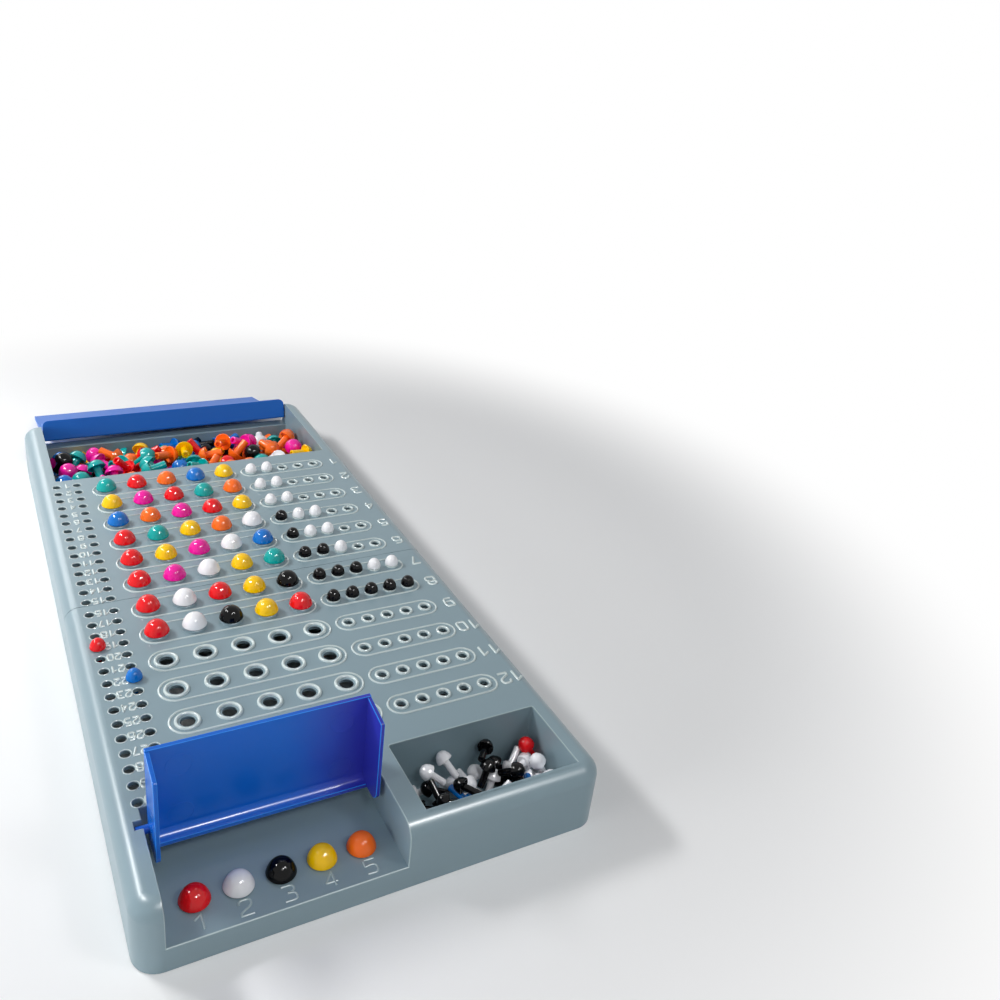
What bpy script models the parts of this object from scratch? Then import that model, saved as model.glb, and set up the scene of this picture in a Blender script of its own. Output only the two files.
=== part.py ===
"""A code breaking peg game: a two-piece board, a hinged lid, a hinged code shield, and the pegs."""
import math
import random

import bmesh
import bpy
from mathutils import Euler, Matrix, Vector

for old in list(bpy.data.objects):
    bpy.data.objects.remove(old, do_unlink=True)

# Every length is in metres. Places on the board are measured from its left side,
# from its rear face or from its front face, and heights from the surface it stands on.

# Board shell
BOARD_HEIGHT = 0.0260
WALL = 0.0020
CORNER_RADIUS = 0.0085
EDGE_RADIUS = 0.0060
INNER_RADIUS = 0.0010
CORNER_SEGMENTS = 4
EDGE_SEGMENTS = 3
GAP = 0.0003
OVERRUN = 0.0010

# Guess holes: twelve rows of five, six rows on each half of the board
COLUMNS = 5
ROWS_EACH_HALF = 6
COLUMN_PITCH = 0.0150
ROW_PITCH = 0.0183
SEAM_SPACE = 0.0016
FIRST_COLUMN_FROM_LEFT = 0.0321
POCKET_TO_FIRST_ROW = 0.0162
TROUGH_TO_LAST_ROW = 0.0159
COLLAR_RADIUS = 0.0050
COLLAR_HEIGHT = 0.0010
GUESS_SIDES = 8

# Key holes: five small holes beside each guess row
KEY_PITCH = 0.00885
LAST_COLUMN_TO_KEYS = 0.0148
LAST_KEY_TO_RIGHT = 0.0200
KEY_COLLAR_RADIUS = 0.0030
KEY_COLLAR_HEIGHT = 0.0006
SMALL_SIDES = 6

# Score holes: two columns of thirty down the left side, half of them on each half of the board
SCORE_COLUMNS_FROM_LEFT = (0.0094, 0.0190)
SCORE_EACH_HALF = 15
SCORE_PITCH_SHARE = 0.4224
SCORE_START = 0.0092
SCORE_HOLE_RADIUS = 0.00185

# Large pegs, for guesses and codes
HEAD_RADIUS = 0.0051
HEAD_HEIGHT = 0.0047
STEM_RADIUS = 0.0022
STEM_LENGTH = 0.0090
HEAD_SHARES = ((0.62, 0.88), (0.93, 0.45), (1.0, 0.0))
LOOSE_HEAD_SHARES = ((0.75, 0.78), (1.0, 0.0))

# Small pegs, for keys and scores
SMALL_HEAD_RADIUS = 0.0031
SMALL_HEAD_HEIGHT = 0.0040
SMALL_STEM_RADIUS = 0.0013
SMALL_STEM_LENGTH = 0.0070

# Peg compartment at the rear, with a low sill that the lid's skirt covers
POCKET_LEFT_WALL = 0.0096
POCKET_RIGHT_WALL = 0.0083
POCKET_FRONT_FROM_REAR = 0.0768
POCKET_REAR_WALL = 0.0080
POCKET_FLOOR = 0.0020

# Lid over the peg compartment, hinged at the rear
LID_FRONT_GAP = 0.0010
LID_SIDE_GAP = 0.0008
LID_SWEEP_GAP = 0.0005
LID_PLATE = 0.0020
LID_SKIRT = 0.0120
LID_EAR_LENGTH = 0.0100
LID_EAR_DROP = 0.0050
LID_HINGE_SETBACK = 0.0026
LID_HINGE_DROP = 0.0048
LID_PIN_RADIUS = 0.00125
LID_PIN_LENGTH = 0.0025
LID_REST_GAP = 0.0003
PIN_SIDES = 8

# Code trough at the front left, open at the front face
TROUGH_LEFT_WALL = 0.0092
TROUGH_DEPTH = 0.0400
CODE_STEM_SPACE = 0.0004
CODE_PITCH_SHARE = 0.1777
CODE_FROM_FRONT = 0.0135

# Code shield, hinged between the side walls of the trough
SHIELD_SIDE_GAP = 0.0018
SHIELD_PLATE = 0.0016
SHIELD_SETBACK = 0.0012
SHIELD_RISE = 0.0306
SHIELD_TAIL = 0.0061
SHIELD_LIP = 0.0034
SHIELD_WING = 0.0128
SHIELD_WING_PLATE = 0.0014
SHIELD_WING_DROP = 0.0023
SHIELD_WING_TIP = 0.0026
SHIELD_TO_TROUGH_REAR = 0.0068
SHIELD_PIN_DROP = 0.0028
SHIELD_PIN_RADIUS = 0.0015
SHIELD_PIN_LENGTH = 0.0045

# Key tray at the front right, with a divider between it and the trough
DIVIDER = 0.0079
TRAY_WIDTH = 0.0594
TRAY_RIGHT_WALL = 0.0090
TRAY_FROM_FRONT = 0.0050
TRAY_DEPTH = 0.0327

# Seats for the hinge pins, and the tongues that hold the halves in line
SEAT_LENGTH = 0.0050
SEAT_DEPTH = 0.0070
TONGUE_WIDTH = 0.0300
TONGUE_LENGTH = 0.0080
TONGUE_HEIGHT = 0.0100
TONGUE_SPREAD = 0.0800

# Loose pegs in the compartment and in the key tray
HEAP_PITCH = 0.0128
KEY_HEAP_PITCH = 0.0085
HEAP_JITTER = 0.0010
HEAP_SIDES = 6

# Colours as they are moulded
COLOURS = {
    "board": (0.27, 0.35, 0.37),
    "blue_plastic": (0.01, 0.10, 0.40),
    "teal": (0.0, 0.28, 0.25),
    "red": (0.65, 0.02, 0.02),
    "orange": (0.85, 0.20, 0.01),
    "blue": (0.01, 0.06, 0.45),
    "yellow": (0.85, 0.62, 0.02),
    "magenta": (0.55, 0.05, 0.25),
    "white": (0.85, 0.85, 0.82),
    "black": (0.012, 0.012, 0.014),
}
ROUGHNESS_SHARE = 0.3

# Pegs as they stand: guesses row by row from the rear, then the code and the placed keys and scores
GUESSES = (
    ("teal", "red", "orange", "blue", "yellow"),
    ("yellow", "magenta", "red", "teal", "orange"),
    ("blue", "orange", "magenta", "red", "yellow"),
    ("red", "teal", "yellow", "orange", "white"),
    ("red", "yellow", "magenta", "white", "blue"),
    ("red", "magenta", "white", "yellow", "teal"),
    ("red", "white", "red", "yellow", "black"),
    ("red", "white", "black", "yellow", "red"),
)
CODE = ("red", "white", "black", "yellow", "orange")
KEYS = {1: ("white", "white"), 8: ("black",) * COLUMNS}
SCORES = (("left", 0, 19, "red"), ("right", 1, 22, "blue"))

# The board is as long and as wide as its rows, columns and pockets make it
ROWS = 2 * ROWS_EACH_HALF
FIRST_ROW_FROM_REAR = POCKET_FRONT_FROM_REAR + POCKET_TO_FIRST_ROW
BOARD_LENGTH = (
    FIRST_ROW_FROM_REAR + (ROWS - 1) * ROW_PITCH + SEAM_SPACE + TROUGH_TO_LAST_ROW + TROUGH_DEPTH
)
FIRST_KEY_FROM_LEFT = FIRST_COLUMN_FROM_LEFT + (COLUMNS - 1) * COLUMN_PITCH + LAST_COLUMN_TO_KEYS
BOARD_WIDTH = FIRST_KEY_FROM_LEFT + (COLUMNS - 1) * KEY_PITCH + LAST_KEY_TO_RIGHT
SCORE_PITCH = ROW_PITCH * SCORE_PITCH_SHARE
TROUGH_FLOOR = STEM_LENGTH + CODE_STEM_SPACE
TROUGH_WIDTH = BOARD_WIDTH - TROUGH_LEFT_WALL - DIVIDER - TRAY_WIDTH - TRAY_RIGHT_WALL
CODE_PITCH = TROUGH_WIDTH * CODE_PITCH_SHARE

# Lid at rest: turned back past flat until its free edge is just above the surface below
LID_ARM = POCKET_FRONT_FROM_REAR - LID_FRONT_GAP - LID_HINGE_SETBACK
LID_HINGE_HEIGHT = BOARD_HEIGHT - LID_HINGE_DROP
SILL_HEIGHT = (
    LID_HINGE_HEIGHT - math.hypot(LID_SKIRT - LID_HINGE_DROP, LID_HINGE_SETBACK) - LID_SWEEP_GAP
)
LID_TILT = math.asin(
    (LID_HINGE_HEIGHT - LID_REST_GAP) / math.hypot(LID_ARM, LID_HINGE_DROP)
) - math.atan2(LID_HINGE_DROP, LID_ARM)
LID_REACH = (
    LID_ARM * math.cos(LID_TILT)
    - (LID_HINGE_DROP - LID_PLATE) * math.sin(LID_TILT)
    - LID_HINGE_SETBACK
)

# The origin is under the middle of the whole game, open lid included
LEFT = -BOARD_WIDTH / 2
FRONT = -(BOARD_LENGTH + LID_REACH) / 2
REAR = FRONT + BOARD_LENGTH
FIRST_ROW = REAR - FIRST_ROW_FROM_REAR
SEAM = FIRST_ROW - (ROWS_EACH_HALF - 0.5) * ROW_PITCH - SEAM_SPACE / 2
COLLAR_TOP = BOARD_HEIGHT + COLLAR_HEIGHT
KEY_COLLAR_TOP = BOARD_HEIGHT + KEY_COLLAR_HEIGHT
POCKET_REAR = REAR - POCKET_REAR_WALL
POCKET_FRONT = REAR - POCKET_FRONT_FROM_REAR
POCKET_LEFT = LEFT + POCKET_LEFT_WALL
POCKET_RIGHT = -LEFT - POCKET_RIGHT_WALL
TROUGH_LEFT = LEFT + TROUGH_LEFT_WALL
TROUGH_RIGHT = TROUGH_LEFT + TROUGH_WIDTH
TRAY_LEFT = TROUGH_RIGHT + DIVIDER
TRAY_RIGHT = TRAY_LEFT + TRAY_WIDTH
TRAY_FRONT = FRONT + TRAY_FROM_FRONT
TRAY_REAR = TRAY_FRONT + TRAY_DEPTH
SHIELD_AXIS = (FRONT + TROUGH_DEPTH - SHIELD_TO_TROUGH_REAR, BOARD_HEIGHT - SHIELD_PIN_DROP)


def material(colour):
    """The plastic of one colour, made once."""
    found = bpy.data.materials.get(colour)
    if found:
        return found
    made = bpy.data.materials.new(colour)
    made.use_nodes = True
    shader = made.node_tree.nodes["Principled BSDF"]
    shader.inputs["Base Color"].default_value = (*COLOURS[colour], 1)
    shader.inputs["Roughness"].default_value = ROUGHNESS_SHARE
    return made


def add_object(name, bm, colour=None, smooth=False):
    """Turn a bmesh into a linked object, with the material of its colour."""
    bmesh.ops.recalc_face_normals(bm, faces=bm.faces)
    mesh = bpy.data.meshes.new(name)
    bm.to_mesh(mesh)
    bm.free()
    if smooth:
        mesh.shade_smooth()
        mesh.set_sharp_from_angle(angle=math.radians(40))
    if colour:
        mesh.materials.append(material(colour))
    made = bpy.data.objects.new(name, mesh)
    bpy.context.collection.objects.link(made)
    return made


def add_box(bm, low, high):
    """Add a box between two corners, and give its vertices."""
    size = Vector(high) - Vector(low)
    place = Matrix.Translation((Vector(low) + Vector(high)) / 2) @ Matrix.Diagonal((*size, 1))
    return bmesh.ops.create_cube(bm, size=1, matrix=place)["verts"]


def rounded_box(low, high, corner, edge):
    """A box with rounded upright corners and a rounded top edge."""
    bm = bmesh.new()
    add_box(bm, low, high)
    uprights = [e for e in bm.edges if abs(e.verts[0].co.z - e.verts[1].co.z) > OVERRUN]
    bmesh.ops.bevel(bm, geom=uprights, offset=corner, segments=CORNER_SEGMENTS,
                    profile=0.5, affect="EDGES", material=-1)
    if edge:
        top = max(bm.faces, key=lambda face: face.calc_center_median().z)
        bmesh.ops.bevel(bm, geom=list(top.edges), offset=edge, segments=EDGE_SEGMENTS,
                        profile=0.5, affect="EDGES", material=-1)
    return bm


def cut_at(bm, y, keep_rear):
    """Cut a closed bmesh across the board at y and keep one side of it, closed again."""
    geometry = bm.verts[:] + bm.edges[:] + bm.faces[:]
    bmesh.ops.bisect_plane(bm, geom=geometry, plane_co=(0, y, 0), plane_no=(0, 1, 0),
                           clear_inner=keep_rear, clear_outer=not keep_rear)
    open_edges = [edge for edge in bm.edges if edge.is_boundary]
    bmesh.ops.holes_fill(bm, edges=open_edges, sides=0)
    return bm


def across(radius, sides):
    """The corner radius of a regular outline whose flats stand at a radius."""
    return radius / math.cos(math.pi / sides)


def add_post(bm, centre, radius, low, high, sides):
    """Add an upright round post, or a hole's cutter, at a place on the board."""
    place = Matrix.Translation((centre[0], centre[1], (low + high) / 2))
    bmesh.ops.create_cone(bm, cap_ends=True, segments=sides, radius1=radius, radius2=radius,
                          depth=high - low, matrix=place)


def add_pin(bm, low_x, high_x, y, z, radius):
    """Add a round pin, or its seat's cutter, along X."""
    place = Matrix.Translation(((low_x + high_x) / 2, y, z)) @ Matrix.Rotation(math.pi / 2, 4, "Y")
    bmesh.ops.create_cone(bm, cap_ends=True, segments=PIN_SIDES, radius1=radius, radius2=radius,
                          depth=high_x - low_x, matrix=place)


def combine(target, bm, operation, label, overlapping=False):
    """Join a helper shape to an object, or cut the object with it."""
    helper = add_object(target.name + "_" + label, bm)
    helper.hide_render = True
    helper.display_type = "WIRE"
    boolean = target.modifiers.new(label, "BOOLEAN")
    boolean.object = helper
    boolean.operation = operation
    boolean.solver = "EXACT"
    boolean.use_self = overlapping


def box(low, high):
    """A bmesh that holds one box."""
    bm = bmesh.new()
    add_box(bm, low, high)
    return bm


def guess_place(row, column):
    """The place of a guess hole; rows and columns count from 1 at the rear left."""
    seam = SEAM_SPACE if row > ROWS_EACH_HALF else 0
    x = LEFT + FIRST_COLUMN_FROM_LEFT + (column - 1) * COLUMN_PITCH
    return x, FIRST_ROW - (row - 1) * ROW_PITCH - seam


def key_place(row, column):
    """The place of a key hole."""
    return LEFT + FIRST_KEY_FROM_LEFT + (column - 1) * KEY_PITCH, guess_place(row, 1)[1]


def score_place(side, number):
    """The place of a score hole; side is 0 for the outer column and 1 for the inner one."""
    seam = SEAM_SPACE if number > SCORE_EACH_HALF else 0
    y = FIRST_ROW + SCORE_START - (number - 1) * SCORE_PITCH - seam
    return LEFT + SCORE_COLUMNS_FROM_LEFT[side], y


def code_place(column):
    """The place of a code hole in the trough's floor."""
    middle = (TROUGH_LEFT + TROUGH_RIGHT) / 2
    return middle + (column - (COLUMNS + 1) / 2) * CODE_PITCH, FRONT + CODE_FROM_FRONT


def shell(name, keep_rear):
    """One half of the board as an open-bottomed shell, with a wall at the seam."""
    outer = rounded_box((LEFT, FRONT, 0), (-LEFT, REAR, BOARD_HEIGHT), CORNER_RADIUS, EDGE_RADIUS)
    side = 1 if keep_rear else -1
    half = add_object(name, cut_at(outer, SEAM + side * GAP / 2, keep_rear), "board")
    hollow = rounded_box(
        (LEFT + WALL, FRONT + WALL, -OVERRUN),
        (-LEFT - WALL, REAR - WALL, BOARD_HEIGHT - WALL),
        CORNER_RADIUS - WALL,
        EDGE_RADIUS - WALL,
    )
    combine(half, cut_at(hollow, SEAM + side * WALL, keep_rear), "DIFFERENCE", "hollow")
    return half


def drill(half, rows, scores):
    """Raise the collars of one half's holes, and cut the holes through them and the deck."""
    collars = bmesh.new()
    holes = bmesh.new()
    root = BOARD_HEIGHT - WALL / 2
    below = BOARD_HEIGHT - WALL - OVERRUN
    hole = across(STEM_RADIUS + GAP, GUESS_SIDES)
    small_hole = across(SMALL_STEM_RADIUS + GAP, SMALL_SIDES)
    for row in rows:
        for column in range(1, COLUMNS + 1):
            place = guess_place(row, column)
            add_post(collars, place, COLLAR_RADIUS, root, COLLAR_TOP, GUESS_SIDES)
            add_post(holes, place, hole, below, COLLAR_TOP + OVERRUN, GUESS_SIDES)
            place = key_place(row, column)
            add_post(collars, place, KEY_COLLAR_RADIUS, root, KEY_COLLAR_TOP, SMALL_SIDES)
            add_post(holes, place, small_hole, below, KEY_COLLAR_TOP + OVERRUN, SMALL_SIDES)
    for number in scores:
        for side in range(len(SCORE_COLUMNS_FROM_LEFT)):
            place = score_place(side, number)
            add_post(holes, place, SCORE_HOLE_RADIUS, below, BOARD_HEIGHT + OVERRUN, SMALL_SIDES)
    combine(half, collars, "UNION", "collars")
    combine(half, holes, "DIFFERENCE", "holes")


def tongues(clearance, reach):
    """The two flat tongues across the seam, or their slots with a clearance."""
    bm = bmesh.new()
    for side in (-1, 1):
        middle = side * TONGUE_SPREAD / 2
        add_box(
            bm,
            (middle - TONGUE_WIDTH / 2 - clearance, SEAM - WALL, TONGUE_HEIGHT - clearance),
            (middle + TONGUE_WIDTH / 2 + clearance, SEAM + reach, TONGUE_HEIGHT + WALL + clearance),
        )
    return bm


def rear_half():
    """The rear half: six rows, half the score holes, the peg compartment and the lid's seats."""
    half = shell("rear_half", True)
    tub = box((POCKET_LEFT - WALL, POCKET_FRONT - WALL, 0),
              (POCKET_RIGHT + WALL, POCKET_REAR + WALL, BOARD_HEIGHT - WALL / 2))
    combine(half, tub, "UNION", "tub")
    sill = box((POCKET_LEFT - WALL / 2, POCKET_REAR - WALL / 2, SILL_HEIGHT - WALL),
               (POCKET_RIGHT + WALL / 2, REAR - WALL / 2, BOARD_HEIGHT - WALL / 2))
    combine(half, sill, "UNION", "sill")
    axis_y = REAR - LID_HINGE_SETBACK
    seats = bmesh.new()
    bores = bmesh.new()
    bore_length = LID_PIN_LENGTH + GAP - LID_SIDE_GAP
    for face, out in ((POCKET_LEFT, -1), (POCKET_RIGHT, 1)):
        ends = sorted((face - out * WALL / 4, face + out * SEAT_LENGTH))
        add_box(seats, (ends[0], axis_y - SEAT_DEPTH / 2, LID_HINGE_HEIGHT - SEAT_DEPTH / 2),
                (ends[1], REAR - WALL / 4, BOARD_HEIGHT - WALL / 4))
        ends = sorted((face - out * OVERRUN, face + out * bore_length))
        add_pin(bores, ends[0], ends[1], axis_y, LID_HINGE_HEIGHT,
                across(LID_PIN_RADIUS + GAP, PIN_SIDES))
    combine(half, seats, "UNION", "seats")
    pocket = rounded_box((POCKET_LEFT, POCKET_FRONT, POCKET_FLOOR),
                         (POCKET_RIGHT, POCKET_REAR, BOARD_HEIGHT + OVERRUN), INNER_RADIUS, 0)
    combine(half, pocket, "DIFFERENCE", "pocket")
    opening = box((POCKET_LEFT, POCKET_REAR - INNER_RADIUS, SILL_HEIGHT),
                  (POCKET_RIGHT, REAR + OVERRUN, BOARD_HEIGHT + OVERRUN))
    combine(half, opening, "DIFFERENCE", "opening")
    combine(half, bores, "DIFFERENCE", "bores")
    combine(half, tongues(GAP, WALL + OVERRUN), "DIFFERENCE", "slots")
    drill(half, range(1, ROWS_EACH_HALF + 1), range(1, SCORE_EACH_HALF + 1))
    return half


def front_half():
    """The front half: six rows, half the score holes, the code trough and the key tray."""
    half = shell("front_half", False)
    floor = box((TROUGH_LEFT - WALL, FRONT + WALL / 2, TROUGH_FLOOR - WALL),
                (TROUGH_RIGHT + WALL, FRONT + TROUGH_DEPTH + WALL, BOARD_HEIGHT - WALL / 2))
    combine(half, floor, "UNION", "trough_walls")
    tray_walls = box((TRAY_LEFT - WALL, FRONT + WALL / 4, 0),
                     (TRAY_RIGHT + WALL, TRAY_REAR + WALL, BOARD_HEIGHT - WALL / 4))
    combine(half, tray_walls, "UNION", "tray_walls")
    axis_y, axis_z = SHIELD_AXIS
    seats = bmesh.new()
    notches = bmesh.new()
    notch = SHIELD_PIN_RADIUS + GAP
    notch_length = SHIELD_PIN_LENGTH + GAP - SHIELD_SIDE_GAP
    for face, out in ((TROUGH_LEFT, -1), (TROUGH_RIGHT, 1)):
        ends = sorted((face - out * WALL / 8, face + out * SEAT_LENGTH))
        add_box(seats, (ends[0], axis_y - SEAT_DEPTH / 2, axis_z - SEAT_DEPTH),
                (ends[1], axis_y + SEAT_DEPTH / 2, BOARD_HEIGHT - WALL / 8))
        ends = sorted((face - out * OVERRUN, face + out * notch_length))
        add_box(notches, (ends[0], axis_y - notch, axis_z - notch),
                (ends[1], axis_y + notch, BOARD_HEIGHT + OVERRUN))
    combine(half, seats, "UNION", "seats")
    trough = box((TROUGH_LEFT, FRONT - OVERRUN, TROUGH_FLOOR),
                 (TROUGH_RIGHT, FRONT + TROUGH_DEPTH, BOARD_HEIGHT + OVERRUN))
    combine(half, trough, "DIFFERENCE", "trough")
    tray = rounded_box((TRAY_LEFT, TRAY_FRONT, POCKET_FLOOR),
                       (TRAY_RIGHT, TRAY_REAR, BOARD_HEIGHT + OVERRUN), INNER_RADIUS, 0)
    combine(half, tray, "DIFFERENCE", "tray")
    combine(half, notches, "DIFFERENCE", "notches")
    code_holes = bmesh.new()
    for column in range(1, COLUMNS + 1):
        add_post(code_holes, code_place(column), across(STEM_RADIUS + GAP, GUESS_SIDES),
                 TROUGH_FLOOR - WALL - OVERRUN, TROUGH_FLOOR + OVERRUN, GUESS_SIDES)
    combine(half, code_holes, "DIFFERENCE", "code_holes")
    combine(half, tongues(0, TONGUE_LENGTH), "UNION", "tongues")
    drill(half, range(ROWS_EACH_HALF + 1, ROWS + 1),
          range(SCORE_EACH_HALF + 1, 2 * SCORE_EACH_HALF + 1))
    return half


def extruded(outline, low_x, high_x):
    """A bmesh of an outline in Y and Z, extruded along X."""
    bm = bmesh.new()
    face = bm.faces.new([bm.verts.new((low_x, y, z)) for y, z in outline])
    sides = bmesh.ops.extrude_face_region(bm, geom=[face])["geom"]
    moved = [v for v in sides if isinstance(v, bmesh.types.BMVert)]
    bmesh.ops.translate(bm, vec=(high_x - low_x, 0, 0), verts=moved)
    return bm


def compartment_lid(board):
    """The lid: a plate and a skirt in one L, with an ear and a pin at each end."""
    left = POCKET_LEFT + LID_SIDE_GAP
    right = POCKET_RIGHT - LID_SIDE_GAP
    top = LID_HINGE_DROP
    back = LID_HINGE_SETBACK
    edge = LID_PLATE / 2
    outline = (
        (-LID_ARM, top), (back - edge, top), (back, top - edge), (back, top - LID_SKIRT),
        (back - LID_PLATE, top - LID_SKIRT), (back - LID_PLATE, top - LID_PLATE),
        (-LID_ARM, top - LID_PLATE),
    )
    lid = add_object("peg_compartment_lid", extruded(outline, left, right), "blue_plastic")
    ear_outline = (
        (back - edge, top - edge), (-LID_EAR_LENGTH, top - edge), (-LID_EAR_LENGTH, 0),
        (-LID_EAR_DROP, -LID_EAR_DROP), (back - edge, -LID_EAR_DROP),
    )
    for label, outer, inner in (("left", left, left + WALL), ("right", right, right - WALL)):
        ends = sorted((outer, inner))
        combine(lid, extruded(ear_outline, ends[0], ends[1]), "UNION", label + "_ear")
    pins = bmesh.new()
    add_pin(pins, left - LID_PIN_LENGTH, left + WALL / 2, 0, 0, LID_PIN_RADIUS)
    add_pin(pins, right - WALL / 2, right + LID_PIN_LENGTH, 0, 0, LID_PIN_RADIUS)
    combine(lid, pins, "UNION", "pins")
    place = Vector((0, REAR - LID_HINGE_SETBACK, LID_HINGE_HEIGHT))
    lid.location = place
    lid.rotation_euler = (-math.pi - LID_TILT, 0, 0)
    for modifier in lid.modifiers:
        modifier.object.location = place
        modifier.object.rotation_euler = lid.rotation_euler
    lid.parent = board


def code_shield(board):
    """The shield: a panel with a wing at each side, a little behind its hinge pins."""
    left = TROUGH_LEFT + SHIELD_SIDE_GAP
    right = TROUGH_RIGHT - SHIELD_SIDE_GAP
    half = SHIELD_PLATE / 2
    face = SHIELD_SETBACK - half
    back = SHIELD_SETBACK + half
    lip = SHIELD_SETBACK - SHIELD_LIP
    panel = (
        (back, -SHIELD_TAIL), (back, SHIELD_RISE), (face, SHIELD_RISE),
        (face, SHIELD_LIP - SHIELD_TAIL), (lip, SHIELD_PLATE - SHIELD_TAIL),
        (lip, -SHIELD_TAIL),
    )
    shield = add_object("code_shield", extruded(panel, left, right), "blue_plastic")
    low = half - SHIELD_TAIL
    inside = back - half / 2
    front = SHIELD_SETBACK - SHIELD_WING
    wing = (
        (inside, low), (inside, SHIELD_RISE - half / 2),
        (face, SHIELD_RISE - half / 2), (front, SHIELD_RISE - SHIELD_WING_DROP),
        (front, low + SHIELD_WING_TIP), (front + SHIELD_WING_TIP, low),
    )
    for label, outer, inward in (("left", left, 1), ("right", right, -1)):
        ends = sorted((outer, outer + inward * SHIELD_WING_PLATE))
        combine(shield, extruded(wing, ends[0], ends[1]), "UNION", label + "_wing")
    pins = bmesh.new()
    add_pin(pins, left - SHIELD_PIN_LENGTH, left + half, 0, 0, SHIELD_PIN_RADIUS)
    add_pin(pins, right - half, right + SHIELD_PIN_LENGTH, 0, 0, SHIELD_PIN_RADIUS)
    combine(shield, pins, "UNION", "pins")
    shield.location = (0, *SHIELD_AXIS)
    for modifier in shield.modifiers:
        modifier.object.location = shield.location
    shield.parent = board


def peg_bmesh(head_radius, head_height, stem_radius, stem_length, sides, shares):
    """A turned peg whose head stands on z = 0, with its stem below."""
    outline = [(0, head_height)]
    outline += [(head_radius * r, head_height * z) for r, z in shares]
    outline += [(stem_radius, 0), (stem_radius, -stem_length), (0, -stem_length)]
    bm = bmesh.new()
    points = [bm.verts.new((x, 0, z)) for x, z in outline]
    edges = [bm.edges.new(pair) for pair in zip(points, points[1:])]
    bmesh.ops.spin(bm, geom=points + edges, cent=(0, 0, 0), axis=(0, 0, 1),
                   angle=math.tau, steps=sides, use_merge=True)
    bmesh.ops.remove_doubles(bm, verts=bm.verts, dist=OVERRUN / 1000)
    return bm


LARGE_PEG = (HEAD_RADIUS, HEAD_HEIGHT, STEM_RADIUS, STEM_LENGTH)
SMALL_PEG = (SMALL_HEAD_RADIUS, SMALL_HEAD_HEIGHT, SMALL_STEM_RADIUS, SMALL_STEM_LENGTH)


def place_peg(name, sizes, sides, colour, place, seat, board):
    """Stand a peg in its hole, its head a hair above its seat; like pegs share one mesh."""
    mesh_name = "peg_" + colour + "_" + str(sides)
    mesh = bpy.data.meshes.get(mesh_name)
    if mesh:
        peg = bpy.data.objects.new(name, mesh)
        bpy.context.collection.objects.link(peg)
    else:
        peg = add_object(name, peg_bmesh(*sizes, sides, HEAD_SHARES), colour, smooth=True)
        peg.data.name = mesh_name
    peg.location = (*place, seat + GAP)
    peg.parent = board


def heap(name, sizes, low, high, pitch, seed, colour, board):
    """Loose pegs that lie in a pocket: a bed of them, with the top ones tumbled over it."""
    length = sizes[1] + sizes[3]
    reach = math.hypot(length / 2, sizes[0]) + HEAP_JITTER + GAP
    bed = POCKET_FLOOR + GAP + reach
    bm = bmesh.new()
    add_box(bm, (low[0] + GAP, low[1] + GAP, POCKET_FLOOR + GAP), (high[0] - GAP, high[1] - GAP, bed))
    uprights = [e for e in bm.edges if abs(e.verts[0].co.z - e.verts[1].co.z) > OVERRUN]
    bmesh.ops.bevel(bm, geom=uprights, offset=INNER_RADIUS, segments=2,
                    profile=0.5, affect="EDGES", material=-1)
    pile = add_object(name, bm, colour)
    draw = random.Random(seed)
    counts = [int((high[k] - low[k] - 2 * reach) / pitch) + 1 for k in range(2)]
    starts = [(low[k] + high[k] - (counts[k] - 1) * pitch) / 2 for k in range(2)]
    tumbled = bmesh.new()
    for i in range(counts[0]):
        for j in range(counts[1]):
            peg = peg_bmesh(*sizes, HEAP_SIDES, LOOSE_HEAD_SHARES)
            turn = Euler([draw.uniform(0, math.tau) for _ in range(3)]).to_matrix().to_4x4()
            shift = Vector([draw.uniform(-HEAP_JITTER, HEAP_JITTER) for _ in range(3)])
            centre = Vector((starts[0] + i * pitch, starts[1] + j * pitch, bed)) + shift
            middle = Matrix.Translation((0, 0, (sizes[3] - sizes[1]) / 2))
            peg.transform(Matrix.Translation(centre) @ turn @ middle)
            loose = bpy.data.meshes.new(name + "_peg")
            peg.to_mesh(loose)
            peg.free()
            tumbled.from_mesh(loose)
            bpy.data.meshes.remove(loose)
    combine(pile, tumbled, "UNION", "tumbled", overlapping=True)
    pile.parent = board


rear = rear_half()
front = front_half()
compartment_lid(rear)
code_shield(front)

for row, colours in enumerate(GUESSES, 1):
    board = rear if row <= ROWS_EACH_HALF else front
    for column, colour in enumerate(colours, 1):
        place_peg(f"guess_peg_r{row}_c{column}", LARGE_PEG, GUESS_SIDES, colour,
                  guess_place(row, column), COLLAR_TOP, board)
for column, colour in enumerate(CODE, 1):
    place_peg(f"code_peg_{column}", LARGE_PEG, GUESS_SIDES, colour,
              code_place(column), TROUGH_FLOOR, front)
for row, colours in KEYS.items():
    board = rear if row <= ROWS_EACH_HALF else front
    for column, colour in enumerate(colours, 1):
        place_peg(f"key_peg_r{row}_{column}", SMALL_PEG, SMALL_SIDES, colour,
                  key_place(row, column), KEY_COLLAR_TOP, board)
for side_name, side, number, colour in SCORES:
    place_peg(f"score_peg_{side_name}", SMALL_PEG, SMALL_SIDES, colour,
              score_place(side, number), BOARD_HEIGHT, front)

heap("loose_guess_pegs", LARGE_PEG, (POCKET_LEFT, POCKET_FRONT), (POCKET_RIGHT, POCKET_REAR),
     HEAP_PITCH, 3, "teal", rear)
heap("loose_key_pegs", SMALL_PEG, (TRAY_LEFT, TRAY_FRONT), (TRAY_RIGHT, TRAY_REAR),
     KEY_HEAP_PITCH, 5, "white", front)
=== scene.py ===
import math
import random

import bmesh
import bpy
import numpy as np
from mathutils import Euler, Matrix, Vector


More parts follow.
